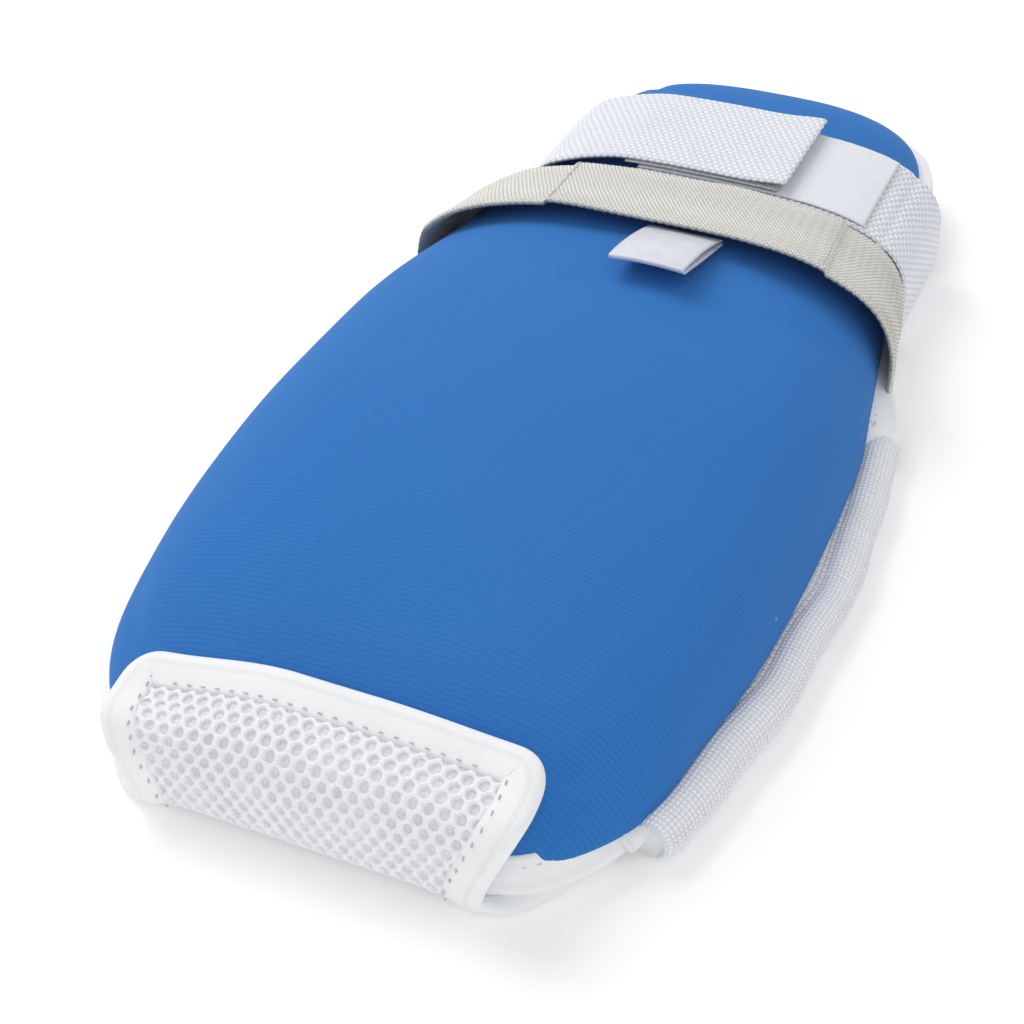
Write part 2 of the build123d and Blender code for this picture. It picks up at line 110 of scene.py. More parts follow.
def hit_from(tree, centre, direction):
    """Distance from a centre to the outermost surface along a direction, or None."""
    far = 0.3
    place, normal, index, distance = tree.ray_cast(centre + direction * far, -direction)
    if place is None or far - distance <= 0:
        return None
    return far - distance


def fill_gaps(values):
    """The same numbers with each None filled in from its neighbours."""
    known = [i for i, v in enumerate(values) if v is not None]
    return np.interp(range(len(values)), known, [values[i] for i in known])


def smooth(values, passes, closed=False):
    """Repeated three point averages along the first axis."""
    out = np.array(values, float)
    for _ in range(passes):
        before, after = np.roll(out, 1, 0), np.roll(out, -1, 0)
        mean = out * 0.5 + (before + after) * 0.25
        if not closed:
            mean[0], mean[-1] = out[0], out[-1]
        out = mean
    return out


def lengths(points, closed=False):
    """Distance along a line of points, from its start to each of them."""
    points = np.asarray(points, float)
    if closed:
        points = np.vstack([points, points[:1]])
    steps = np.linalg.norm(np.diff(points, axis=0), axis=1)
    return np.concatenate([[0.0], np.cumsum(steps)])


def spaced(points, step, closed=False):
    """The same line with evenly spaced points about step apart."""
    points = np.asarray(points, float)
    run = lengths(points, closed)
    count = max(2, int(round(run[-1] / step)))
    if closed:
        points = np.vstack([points, points[:1]])
        where = np.arange(count) * run[-1] / count
    else:
        where = np.linspace(0, run[-1], count + 1)
    return np.column_stack([np.interp(where, run, points[:, k]) for k in range(points.shape[1])])


def directions(points, closed=False):
    """Unit direction of a line at each of its points."""
    points = np.asarray(points, float)
    if closed:
        ahead = np.roll(points, -1, 0) - np.roll(points, 1, 0)
    else:
        ahead = np.gradient(points, axis=0)
    return ahead / np.linalg.norm(ahead, axis=1)[:, None]


def ripple(points, scale, seed, size):
    """Smooth noise at each point, up to about size."""
    offset = Vector((seed * 7.3, seed * 3.1, seed * 5.7))
    return np.array([noise.noise(Vector(p) / scale + offset) for p in points]) * size
def ripple_along(run, scale, seed, size, offset=0.0):
    """Smooth noise along a line, from the distance along it."""
    return ripple(np.column_stack([run, run * 0, run * 0 + offset]), scale, seed, size)

def ramp(value, low, high):
    """Smooth step from 0 at low to 1 at high."""
    t = np.clip((np.asarray(value, float) - low) / (high - low), 0, 1)
    return t * t * (3 - 2 * t)


def squeeze(points):
    """Draw the mitt's left side in where the band and the tight strap go round it."""
    points = np.array(points, float)
    x, y = points[:, 0], points[:, 1] - FINGER_END
    strap = ramp(y, 208 * MM, 228 * MM)
    share = (0.8 - 0.35 * strap) * ramp(y, 168 * MM, 188 * MM) * (1 - ramp(y, 264 * MM, 290 * MM))
    over = np.maximum(-x - (60 - 22 * strap) * MM, 0)
    points[:, 0] = x + share * over ** 2 / (over + 3 * MM)
    return points


# ---- building meshes ----------------------------------------------------------------------
def new_object(
    name, points, faces, uvs=None, materials=(), face_slots=None, shade=True, solid=True
):
    """A mesh object with its UVs and materials; a solid one has its faces turned outwards."""
    points = squeeze(points)
    mesh = bpy.data.meshes.new(name)
    mesh.from_pydata([tuple(p) for p in points], [], [tuple(f) for f in faces])
    if uvs is not None:
        layer = mesh.uv_layers.new(name="UVMap")
        loops = np.zeros(len(mesh.loops), np.int32)
        mesh.loops.foreach_get("vertex_index", loops)
        layer.data.foreach_set("uv", np.asarray(uvs, np.float32)[loops].ravel())
    for material in materials:
        mesh.materials.append(material)
    if face_slots is not None:
        mesh.polygons.foreach_set("material_index", np.asarray(face_slots, np.int32))
    mesh.polygons.foreach_set("use_smooth", [shade] * len(mesh.polygons))
    mesh.update()
    if solid:
        mesh.calc_loop_triangles()
        corners = np.zeros(3 * len(mesh.loop_triangles), np.int32)
        mesh.loop_triangles.foreach_get("vertices", corners)
        a, b, c = np.asarray(points, float)[corners.reshape(-1, 3)].transpose(1, 0, 2)
        if (a * np.cross(b, c)).sum() < 0:
            mesh.flip_normals()
    made = bpy.data.objects.new(name, mesh)
    bpy.context.scene.collection.objects.link(made)
    return made
def label(piece, slot, *nodes):
    """Hide the CAD nodes that a piece replaces; slot is not used."""
    if nodes:
        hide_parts(*nodes)


def fix(piece, slot, *nodes, body="mitt"):
    """Hang a piece on one body and hide the CAD nodes that it replaces."""
    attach(piece, body)
    label(piece, slot, *nodes)


def grid_uvs(run, across):
    """UVs of a grid of points: the distance along it and the distance across it."""
    return np.stack(np.meshgrid(run, across, indexing="ij"), -1).reshape(-1, 2)
def grid_faces(rows, columns, closed_rows=False, closed_columns=False):
    """Quads of a grid of points, wrapped round where it is closed."""
    faces = []
    for i in range(rows if closed_rows else rows - 1):
        for j in range(columns if closed_columns else columns - 1):
            a, b = i * columns + j, i * columns + (j + 1) % columns
            c = ((i + 1) % rows) * columns + (j + 1) % columns
            d = ((i + 1) % rows) * columns + j
            faces.append((a, b, c, d))
    return faces


def tube_piece(name, sections, run, arc, material):
    """A tube through equal cross sections, capped at both ends."""
    sections = np.array(sections)
    count, around = sections.shape[:2]
    first = tuple(range(around))
    last = tuple((count - 1) * around + j for j in first)[::-1]
    faces = [f[::-1] for f in grid_faces(count, around, closed_columns=True)] + [first, last]
    return new_object(name, sections.reshape(-1, 3), faces, grid_uvs(run, arc), [material])


def tape_piece(name, middle, across, normal, thick, relief, material, closed=False):
    """A woven tape. middle, across and normal give the outer face as [length, width, 3] arrays."""
    rows, columns = middle.shape[:2]
    run = lengths(middle[:, columns // 2], closed)[:rows]
    width = lengths(middle[rows // 2])
    u = np.repeat(run[:, None], columns, 1)
    v = np.repeat(width[None, :], rows, 0)
    lift = relief(u, v)[..., None]
    outer = middle + normal * lift
    inner = middle - normal * (thick + lift * 0.7)
    round_out = thick * 0.42
    first = (outer[:, 0] + inner[:, 0]) / 2 - across[:, 0] * round_out
    last = (outer[:, -1] + inner[:, -1]) / 2 + across[:, -1] * round_out
    loop = np.concatenate([outer, last[:, None], inner[:, ::-1], first[:, None]], 1)
    back_run = 2 * v[:, -1:] + thick - v[:, ::-1]
    uv_v = np.concatenate([v, v[:, -1:] + thick, back_run, v[:, :1] - thick], 1)
    total = loop.shape[1]
    uv_u = np.repeat(run[:, None], total, 1)
    faces = grid_faces(rows, total, closed_rows=closed, closed_columns=True)
    points = loop.reshape(-1, 3)
    uvs = np.stack([uv_u, uv_v], -1).reshape(-1, 2)
    if not closed:
        for row, flip in ((0, False), (rows - 1, True)):
            base = row * total
            for j in range(columns - 1):
                face = (base + j, base + 2 * columns - j, base + 2 * columns - 1 - j, base + j + 1)
                faces.append(face[::-1] if flip else face)
            ends = [
                (base, base + 2 * columns + 1, base + 2 * columns),
                (base + columns - 1, base + columns + 1, base + columns),
            ]
            faces += [end[::-1] if flip else end for end in ends]
    return new_object(name, points, faces, uvs, [material])


def no_relief(u, v):
    return np.zeros_like(u)


def woven(pitch, height):
    """Raised yarns of a weave, in rows that are staggered by half a pitch."""
    def relief(u, v):
        row = np.floor(v / pitch[1])
        along = np.cos(2 * pi * (u / pitch[0] + (row % 2) * 0.5))
        over = np.abs(np.cos(pi * (v / pitch[1] - row - 0.5)))
        return height * (0.5 + 0.5 * along) * over ** 0.7
    return relief


# ---- materials ----------------------------------------------------------------------------
class Nodes:
    """Short forms for building a node tree."""

    def __init__(self, name):
        self.material = bpy.data.materials.new(name)
        self.material.use_nodes = True
        self.tree = self.material.node_tree
        self.tree.nodes.clear()
        self.output = self.tree.nodes.new("ShaderNodeOutputMaterial")
        self.shader = self.tree.nodes.new("ShaderNodeBsdfPrincipled")
        self.link(self.shader.outputs[0], self.output.inputs["Surface"])

    def link(self, source, target):
        self.tree.links.new(source, target)

    def put(self, target, value):
        if hasattr(value, "is_output"):
            self.link(value, target)
        else:
            target.default_value = value

    def add(self, kind, settings=(), **inputs):
        node = self.tree.nodes.new(kind)
        for key, value in dict(settings).items():
            setattr(node, key, value)
        for key, value in inputs.items():
            self.put(node.inputs[key.replace("_", " ")], value)
        return node

    def math(self, operation, a, b=0.0, c=0.0):
        node = self.tree.nodes.new("ShaderNodeMath")
        node.operation = operation
        for socket, value in zip(node.inputs, (a, b, c)):
            self.put(socket, value)
        return node.outputs[0]

    def uv(self):
        """The two UV coordinates, in metres along and across the piece."""
        parts = self.add("ShaderNodeSeparateXYZ", Vector=self.add("ShaderNodeUVMap").outputs[0])
        return parts.outputs[0], parts.outputs[1]

    def place(self):
        return self.add("ShaderNodeTexCoord").outputs["Object"]

    def noise(self, size, detail=2.0, rough=0.5, vector=None):
        vector = self.place() if vector is None else vector
        return self.add(
            "ShaderNodeTexNoise", Vector=vector, Scale=1.0 / size, Detail=detail, Roughness=rough
        ).outputs["Fac"]

    def wave(self, value, pitch, phase=0.0):
        """0 to 1 along value, once each pitch."""
        turn = self.math("MULTIPLY_ADD", value, 2 * pi / pitch, phase)
        return self.math("MULTIPLY_ADD", self.math("SINE", turn), 0.5, 0.5)

    def mix(self, share, a, b):
        """Colour a where share is 0 and b where it is 1."""
        node = self.tree.nodes.new("ShaderNodeMix")
        node.data_type = "RGBA"
        self.put(node.inputs[0], share)
        self.put(node.inputs[6], a)
        self.put(node.inputs[7], b)
        return node.outputs[2]

    def span(self, value, low, high, to_low=0.0, to_high=1.0):
        node = self.add("ShaderNodeMapRange", {"interpolation_type": "SMOOTHSTEP"})
        for socket, number in zip(node.inputs, (value, low, high, to_low, to_high)):
            self.put(socket, number)
        return node.outputs[0]

    def bump(self, height, distance, strength=1.0, normal=None):
        node = self.add("ShaderNodeBump", Height=height, Distance=distance, Strength=strength)
        if normal is not None:
            self.link(normal, node.inputs["Normal"])
        return node.outputs[0]

    def finish(self, colour, roughness, sheen=0.0, sheen_rough=0.4, normal=None, specular=0.25):
        self.put(self.shader.inputs["Base Color"], colour)
        self.put(self.shader.inputs["Roughness"], roughness)
        self.put(self.shader.inputs["Sheen Weight"], sheen)
        self.put(self.shader.inputs["Sheen Roughness"], sheen_rough)
        self.put(self.shader.inputs["Specular IOR Level"], specular)
        if normal is not None:
            self.link(normal, self.shader.inputs["Normal"])
        return self.material


def rgb(red, green, blue):
    return (red, green, blue, 1.0)


def palm_knit():
    """Brushed blue knit: fine ribs across the hand, a soft mottle and a few specks of pale lint."""
    n = Nodes("palm_knit")
    along, across = n.uv()
    sway = n.math("MULTIPLY", n.noise(7 * MM), 0.0009)
    ribs = n.wave(n.math("ADD", along, sway), 1.15 * MM)
    loops = n.wave(n.math("ADD", across, n.math("MULTIPLY", n.noise(3 * MM), 0.0008)), 0.95 * MM)
    fibre = n.noise(0.5 * MM, 3.0, 0.7)
    patch = n.noise(28 * MM, 3.0, 0.6)
    weave = n.math("MULTIPLY", ribs, n.math("MULTIPLY_ADD", loops, 0.35, 0.65))
    tone = n.math("ADD", n.math("MULTIPLY", weave, 0.38), n.math("MULTIPLY", fibre, 0.62))
    colour = n.mix(n.span(tone, 0.1, 0.9), rgb(0.028, 0.158, 0.47), rgb(0.04, 0.19, 0.55))
    colour = n.mix(n.span(patch, 0.35, 0.7, 0.0, 0.25), colour, rgb(0.03, 0.165, 0.48))
    cells = n.add("ShaderNodeTexVoronoi", Vector=n.place(), Scale=1.0 / (11 * MM))
    speck = n.span(cells.outputs["Distance"], 0.03, 0.05, 1.0, 0.0)
    rare = n.span(n.noise(16 * MM, 1.0), 0.56, 0.6)
    lint = n.math("MULTIPLY", n.math("MULTIPLY", speck, rare), 0.45)
    colour = n.mix(lint, colour, rgb(0.45, 0.6, 0.8))
    height = n.math("ADD", n.math("MULTIPLY", weave, 0.6), n.math("MULTIPLY", fibre, 0.8))
    n.put(n.shader.inputs["Sheen Tint"], rgb(0.45, 0.7, 1.0))
    return n.finish(colour, 0.9, 0.12, 0.5, n.bump(height, 0.07 * MM, 0.7), 0.1)


def plain_cloth(name, colour, shade, pitch, bump):
    """A smooth plain weave, such as bias binding or a lining."""
    n = Nodes(name)
    fibre = n.noise(0.4 * MM, 3.0, 0.7)
    soft = n.noise(9 * MM, 2.0)
    tone = n.math("MULTIPLY_ADD", soft, 0.6, n.math("MULTIPLY", fibre, 0.4))
    cloth = n.mix(n.span(tone, 0.3, 0.7), shade, colour)
    along, across = n.uv()
    threads = n.math("MULTIPLY", n.wave(along, pitch), n.wave(across, pitch))
    height = n.math("ADD", threads, n.math("MULTIPLY", soft, 1.5))
    return n.finish(cloth, 0.8, 0.2, 0.5, n.bump(height, bump, 0.7), 0.2)


def webbing(name, bright, pit_shade_and_mottle, pitch, stagger=True, sheen=0.15, rough=0.6, gap=0.55):
    """Coarse weave: each raised yarn is bright and the pits between them are darkened with painted
    shade.
    """
    n = Nodes(name)
    along, across = n.uv()
    drift = n.math("MULTIPLY_ADD", n.noise(6 * MM), 0.0005, along)
    row = n.math("FLOOR", n.math("DIVIDE", across, pitch[1]))
    shift = n.math("MULTIPLY", n.math("MODULO", row, 2.0), pi if stagger else 0.0)
    turn = n.math("ADD", n.math("MULTIPLY", drift, 2 * pi / pitch[0]), shift)
    over = n.math("MULTIPLY_ADD", n.math("COSINE", turn), 0.5, 0.5)
    in_row = n.math("ABSOLUTE", n.math("SINE", n.math("MULTIPLY", across, pi / pitch[1])))
    yarn = n.math("MULTIPLY", n.math("POWER", over, 0.8), n.math("POWER", in_row, 0.6))
    fibre = n.noise(0.35 * MM, 3.0, 0.7)
    soft = n.noise(12 * MM, 2.0)
    tone = n.math("MULTIPLY_ADD", fibre, 0.3, n.math("MULTIPLY", yarn, 0.85))
    # painted shade: the pits between the raised yarns take the dark colour
    colour = n.mix(n.span(tone, 0.08, gap), pit_shade_and_mottle, bright)
    # soft patches of the same dark colour: an uneven tone of the cloth
    colour = n.mix(n.span(soft, 0.4, 0.75, 0.0, 0.12), colour, pit_shade_and_mottle)
    height = n.math("MULTIPLY_ADD", fibre, 0.25, yarn)
    return n.finish(colour, rough, sheen, 0.4, n.bump(height, 0.3 * MM, 0.9), 0.35)


def pile_cloth(name, colour, shade, size, bump, sheen=0.5):
    """Brushed loop pile or a field of small hooks: a fine random nap."""
    n = Nodes(name)
    nap = n.noise(size, 4.0, 0.75)
    soft = n.noise(14 * MM, 2.0)
    cloth = n.mix(n.span(nap, 0.3, 0.65), shade, colour)
    cloth = n.mix(n.span(soft, 0.4, 0.7, 0.0, 0.3), cloth, shade)
    return n.finish(cloth, 0.9, sheen, 0.6, n.bump(nap, bump, 0.8), 0.1)


def satin():
    """Smooth woven satin with fine lengthwise yarns and a soft gloss."""
    n = Nodes("satin")
    along, across = n.uv()
    yarn = n.wave(across, 0.35 * MM)
    soft = n.noise(5 * MM, 2.0)
    colour = n.mix(n.span(soft, 0.35, 0.7), rgb(0.69, 0.71, 0.77), rgb(0.75, 0.77, 0.83))
    height = n.math("ADD", yarn, soft)
    return n.finish(colour, 0.36, 0.25, 0.3, n.bump(height, 0.06 * MM, 0.6), 0.5)


def thread_material(name, colour):
    """Twisted sewing thread."""
    n = Nodes(name)
    twist = n.noise(0.3 * MM, 2.0)
    shade = rgb(*(c * 0.7 for c in colour[:3]))
    colour = n.mix(n.span(twist, 0.3, 0.7), shade, colour)
    return n.finish(colour, 0.6, 0.2, 0.4, n.bump(twist, 0.1 * MM), 0.3)


def net_yarn():
    """Knitted strands of the spacer mesh."""
    n = Nodes("spacer_net")
    fibre = n.noise(0.35 * MM, 3.0, 0.75)
    soft = n.noise(18 * MM, 2.0)
    colour = n.mix(n.span(fibre, 0.25, 0.65), rgb(0.76, 0.78, 0.81), rgb(0.95, 0.96, 0.98))
    colour = n.mix(n.span(soft, 0.4, 0.7, 0.0, 0.2), colour, rgb(0.82, 0.84, 0.9))
    return n.finish(colour, 0.65, 0.2, 0.4, n.bump(fibre, 0.12 * MM, 0.8), 0.3)


def floor_material():
    """Nearly white, with a little light of its own so that the floor meets the backdrop."""
    n = Nodes("floor")
    n.put(n.shader.inputs["Emission Color"], rgb(1, 1, 1))
    n.put(n.shader.inputs["Emission Strength"], 0.17)
    return n.finish(rgb(0.9, 0.9, 0.9), 0.9, specular=0.0)


M = {
    "knit": palm_knit(),
    "foam": pile_cloth("foam", rgb(0.85, 0.82, 0.7), rgb(0.7, 0.67, 0.55), 0.8 * MM, 0.2 * MM, 0.0),
    "lining": plain_cloth(
        "lining", rgb(0.82, 0.83, 0.84), rgb(0.74, 0.75, 0.77), 0.8 * MM, 0.08 * MM
    ),
    "binding": plain_cloth(
        "binding", rgb(0.9, 0.91, 0.92), rgb(0.85, 0.865, 0.88), 0.6 * MM, 0.02 * MM
    ),
    "thread": thread_material("thread", rgb(0.6, 0.61, 0.63)),
    "cream_thread": thread_material("cream_thread", rgb(0.66, 0.63, 0.56)),
    "hooks": pile_cloth(
        "hook_tape", rgb(0.72, 0.73, 0.75), rgb(0.36, 0.37, 0.4), 0.7 * MM, 0.6 * MM, 0.1
    ),
    "pile": pile_cloth(
        "loop_pile", rgb(0.8, 0.82, 0.87), rgb(0.7, 0.72, 0.78), 0.6 * MM, 0.15 * MM
    ),
    "net": net_yarn(),
    "backing": plain_cloth(
        "spacer_backing", rgb(0.84, 0.85, 0.88), rgb(0.68, 0.69, 0.73), 0.9 * MM, 0.2 * MM
    ),
    # each webbing's second colour is the painted shade in the pits between its yarns, also used for
    # soft darker patches
    "sleeve": webbing(
        "white_webbing", rgb(0.95, 0.96, 0.99), rgb(0.7, 0.72, 0.79), SLEEVE_RIB, False, gap=0.6
    ),
    "strap": webbing("strap_tape", rgb(0.88, 0.89, 0.93), rgb(0.56, 0.6, 0.72), STRAP_DOT),
    "cream": webbing(
        "cream_webbing", rgb(0.88, 0.87, 0.83), rgb(0.5, 0.49, 0.45), BAND_YARN,
        gap=0.7, sheen=0.1, rough=0.75,
    ),
    "satin": satin(),
}


# ---- palm pad -----------------------------------------------------------------------------
PAD_STEP = 3.6 * MM                 # spacing of the pad's rows
PAD_COLUMNS = 45
SWELL_CAP = 3.0 * MM                # how far the cloth simulation may move a point
SWELL_FRAMES = 20
pad_low, pad_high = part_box("palm_cover")


def pad_rows():
    """Rows of points over the pad's cover, from the fingers to the wrist, each evenly spaced."""
    tree = tree_of("palm_cover")
    base = pad_low.z + 0.05 * MM
    edge = 0.15 * MM
    count = int(round((pad_high.y - pad_low.y) / PAD_STEP))
    turn = np.radians(np.linspace(0.4, 179.6, 121))
    rows = []
    for y in np.linspace(pad_low.y + edge, pad_high.y - edge, count + 1):
        centre = Vector((0, y, base))
        reach = fill_gaps([hit_from(tree, centre, Vector((cos(t), 0, sin(t)))) for t in turn])
        across, up = reach * np.cos(turn), base + reach * np.sin(turn)
        ring = np.column_stack([across, np.full(len(turn), y), up])
        run = lengths(ring)
        where = np.linspace(0, run[-1], PAD_COLUMNS)
        rows.append(np.column_stack([np.interp(where, run, ring[:, k]) for k in range(3)]))
    return np.array(rows)


def pad_shape():
    """Closed pad: the domed rows, rounded off at both ends, over a flat base."""
    rows = pad_rows()
    base = pad_low.z
    ends = []
    for row, side in ((rows[0], -1), (rows[-1], 1)):
        ring = []
        for k in (0.85, 0.5):
            moved = row.copy()
            moved[:, 2] = base + (row[:, 2] - base) * k
            moved[:, 0] *= 1 - 0.03 * (1 - k)
            moved[:, 1] += side * 1.0 * MM * (1 - k)
            ring.append(moved)
        ends.append(ring)
    return np.array(ends[0][::-1] + list(rows) + ends[1])


def swell(pad, pinned, rest):
    """Blow the pad up as soft cloth over its foam, then cap how far each point has moved."""
    group = pad.vertex_groups.new(name="sewn")
    group.add([int(i) for i in pinned], 1.0, "REPLACE")
    cloth = pad.modifiers.new("cloth", "CLOTH")
    cloth.settings.vertex_group_mass = "sewn"
    cloth.settings.quality = 5
    cloth.settings.use_pressure = True
    cloth.settings.uniform_pressure_force = 4.0
    cloth.settings.tension_stiffness = 30.0
    cloth.settings.compression_stiffness = 30.0
    cloth.settings.bending_stiffness = 2.0
    cloth.settings.effector_weights.gravity = 0.0
    cloth.point_cache.frame_start, cloth.point_cache.frame_end = 1, SWELL_FRAMES
    scene = bpy.context.scene
    for number in range(1, SWELL_FRAMES + 1):
        scene.frame_set(number)
    evaluated = pad.evaluated_get(bpy.context.evaluated_depsgraph_get())
    moved = np.array([v.co for v in evaluated.data.vertices])
    pad.modifiers.remove(cloth)
    scene.frame_set(1)
    push = moved - rest
    size = np.linalg.norm(push, axis=1)[:, None]
    return rest + push * np.minimum(1.0, SWELL_CAP / np.maximum(size, 1e-9))


def valley(points, line, depth, width):
    """How deep each point lies in a sewn valley that follows a plan line."""
    fine = spaced(line, 1.5 * MM)
    gap = np.min(np.linalg.norm(points[:, None, :2] - fine[None, :, :2], axis=2), axis=1)
    return depth * np.exp(-((gap / width) ** 2))


def palm_pad():
    """The blue pad. Its rim hangs lower and wider than the CAD cover along the finger half."""
    ring = pad_shape()
    rows, columns = ring.shape[:2]
    draw_in = 1.6 * MM              # how far the dome starts below its place, before the swell
    half = np.abs(ring[..., 0]).max(1)[:, None]
    out = ramp(np.abs(ring[..., 0]) / half, 0.8, 1.0)
    y = ring[..., 1] - FINGER_END
    along = 1 - ramp(y, 192 * MM, 206 * MM)
    beside = ramp(np.abs(ring[..., 0]), 22 * MM, 44 * MM)
    near = 1 - ramp(ring[..., 2] - pad_low.z, 0, 13 * MM)
    drop = (3.6 + 2.6 * (1 - ramp(y, 26 * MM, 50 * MM))) * MM * out * along * beside
    bulge = (1.6 + 1.6 * (1 - ramp(y, 30 * MM, 55 * MM))) * MM * (1 - ramp(y, 150 * MM, 175 * MM))
    ring[..., 0] += np.sign(ring[..., 0]) * bulge * near * out * beside
    ring[..., 2] -= drop * near
    rest = ring.copy()
    full = pad_high.z - pad_low.z
    rest[..., 2] = pad_low.z + (rest[..., 2] - pad_low.z) * (1 - draw_in / full)
    run = lengths(ring[:, columns // 2])
    arc = np.array([lengths(r) for r in ring])
    arc -= arc[:, -1:] / 2

    def with_base(top):
        """The domed rows with a flat row of points below each, which closes the pad."""
        under = top[:, -2:0:-1].copy()
        under[..., 2] = pad_low.z - drop[:, -2:0:-1]
        return np.concatenate([top, under], 1)

    around = 2 * columns - 2
    faces = [f[::-1] for f in grid_faces(rows, around, closed_columns=True)]
    for row, flip in ((0, False), (rows - 1, True)):
        for j in range(columns - 1):
            face = [row * around + k % around for k in (j, j + 1, around - j - 1, around - j)]
            face = list(dict.fromkeys(face))
            faces.append(face[::-1] if flip else face)
    arc = np.concatenate([arc, arc[:, -2:0:-1]], 1)
    uvs = np.stack([np.repeat(run[:, None], around, 1), arc], -1).reshape(-1, 2)
    points = with_base(rest).reshape(-1, 3)
    pad = new_object("palm_pad", points, faces, uvs, [M["knit"]])
    index = np.arange(rows * around).reshape(rows, around)
    pinned = np.concatenate([index[:, 0], index[:, columns - 1:].ravel(), index[0], index[-1]])
    points = swell(pad, pinned, points)
    pad.data.vertices.foreach_set("co", points.astype(np.float32).ravel())
    for level in range(2):
        subdivide(pad)
        if level == 0:
            shape_pad(pad)
    fix(pad, "palm_knit", "palm_cover")


def subdivide(piece):
    modifier = piece.modifiers.new("subdivide", "SUBSURF")
    modifier.levels = modifier.render_levels = 1
    bpy.context.view_layer.objects.active = piece
    bpy.ops.object.modifier_apply(modifier=modifier.name)


def shape_pad(pad):
    """Sewn line at the mouth's corners, the dart at the wrist, soft creases and unevenness."""
    points = np.array([v.co for v in pad.data.vertices])
    height = np.clip((points[:, 2] - pad_low.z) / (8 * MM), 0, 1)
    corner = ((46, 24), (50, 27), (54, 33), (58, 41))
    sink = np.zeros(len(points))
    # each line: x and y from the finger end, depth of its valley and its width, in mm
    for line, depth, width in (
        ([(-x, y) for x, y in corner], 1.5, 2.6),
        (corner, 1.5, 2.6),
        (((-38, 300), (-30, 291), (-21, 285)), 1.1, 2.0),
        (((24, 160), (42, 166), (56, 172)), 0.8, 6.0),
        (((-4, 158), (12, 150), (34, 149)), 0.7, 7.0),
    ):
        places = [(x * MM, FINGER_END + y * MM, 0) for x, y in line]
        sink += valley(points, places, depth * MM, width * MM)
    points[:, 2] += (ripple(points, 0.035, 1, 0.9 * MM) - sink) * height
    pad.data.vertices.foreach_set("co", points.astype(np.float32).ravel())
    pad.data.update()


# ---- spacer mesh: one sheet that is cut flat and wrapped round the nose --------------------
mesh_low, mesh_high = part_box("back_mesh_panel")
flap_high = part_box("flap_mesh")[1]
SHEET_Z = mesh_low.z + 2.5 * MM / 2     # middle of the back's thickness
NOSE = JOINTS["flap_open"]
TIP = (flap_high.y, flap_high.z - 1.15 * MM)
SHOULDER = (NOSE.y + 3.3 * MM, NOSE.z + 15.75 * MM)
DROOP = (5.5 * MM, 1.5 * MM)        # how far the flap's left and right corners hang down
FOOT_DROP = 1.7 * MM                # how far the sheet's edges hang at the foot of the nose


def rounded(points, radii, step=0.4 * MM):
    """A run of plane points with its corners rounded off."""
    line = [np.array(points[0], float)]
    for before, corner, after, radius in zip(points, points[1:], points[2:], radii):
        before, corner, after = (np.array(p, float) for p in (before, corner, after))
        back = (before - corner) / np.linalg.norm(before - corner)
        on = (after - corner) / np.linalg.norm(after - corner)
        half = np.arccos(np.clip(back @ on, -1, 1)) / 2
        reach = radius / tan(half)
        middle = corner + (back + on) / np.linalg.norm(back + on) * radius / sin(half)
        start = corner + back * reach - middle
        end = corner + on * reach - middle
        sweep = np.arccos(np.clip(start @ end / radius ** 2, -1, 1))
        for t in np.linspace(0, 1, 12):
            a, b = sin((1 - t) * sweep) / sin(sweep), sin(t * sweep) / sin(sweep)
            line.append(middle + start * a + end * b)
    line.append(np.array(points[-1], float))
    return spaced(line, step)


SHEET_LINE = rounded(
    [(mesh_high.y, SHEET_Z), (NOSE.y, SHEET_Z), (NOSE.y, NOSE.z + 8 * MM), SHOULDER, TIP],
    (5.0 * MM, 8.0 * MM, 8.0 * MM),
)
SHEET_RUN = lengths(SHEET_LINE)
SHEET_WAY = directions(SHEET_LINE)
SHEET_END = SHEET_RUN[-1]
NOSE_RUN = SHEET_RUN[np.argmin(SHEET_LINE[:, 0] + SHEET_LINE[:, 1] * 0.2)]


def wrap(x, s, h):
    """Points of the sheet.

    x runs across, s along from the wrist end round the nose and h out of the outer face.
    """
    y, z = (np.interp(s, SHEET_RUN, SHEET_LINE[:, k]) for k in (0, 1))
    wy, wz = (np.interp(s, SHEET_RUN, SHEET_WAY[:, k]) for k in (0, 1))
    past = np.maximum(s - SHEET_END, 0)
    rise = ramp(s, SHEET_END - 26 * MM, SHEET_END - 6 * MM) * ramp(np.abs(x), 8 * MM, 44 * MM)
    z = z - rise * np.where(x < 0, *DROOP)
    low = 1 - ramp(z, SHEET_Z, SHEET_Z + 9 * MM)
    foot = ramp(np.abs(x), 24 * MM, 36 * MM) * ramp(s, NOSE_RUN - 26 * MM, NOSE_RUN - 3 * MM)
    z = z - low * foot * FOOT_DROP
    return np.stack([x + 0 * s, y + wy * past - wz * h, z + wz * past + wy * h], -1)


def sheet_halves():
    """Half width of the sheet along s, read from the mesh and its flap."""
    tree = tree_of("back_mesh_panel", "flap_mesh", "flap_binding")
    across = Vector((1, 0, 0))
    return fill_gaps([hit_from(tree, Vector((0, y, z)), across) for y, z in SHEET_LINE])


HALVES = sheet_halves()


def half_at(s):
    return np.interp(s, SHEET_RUN, HALVES)


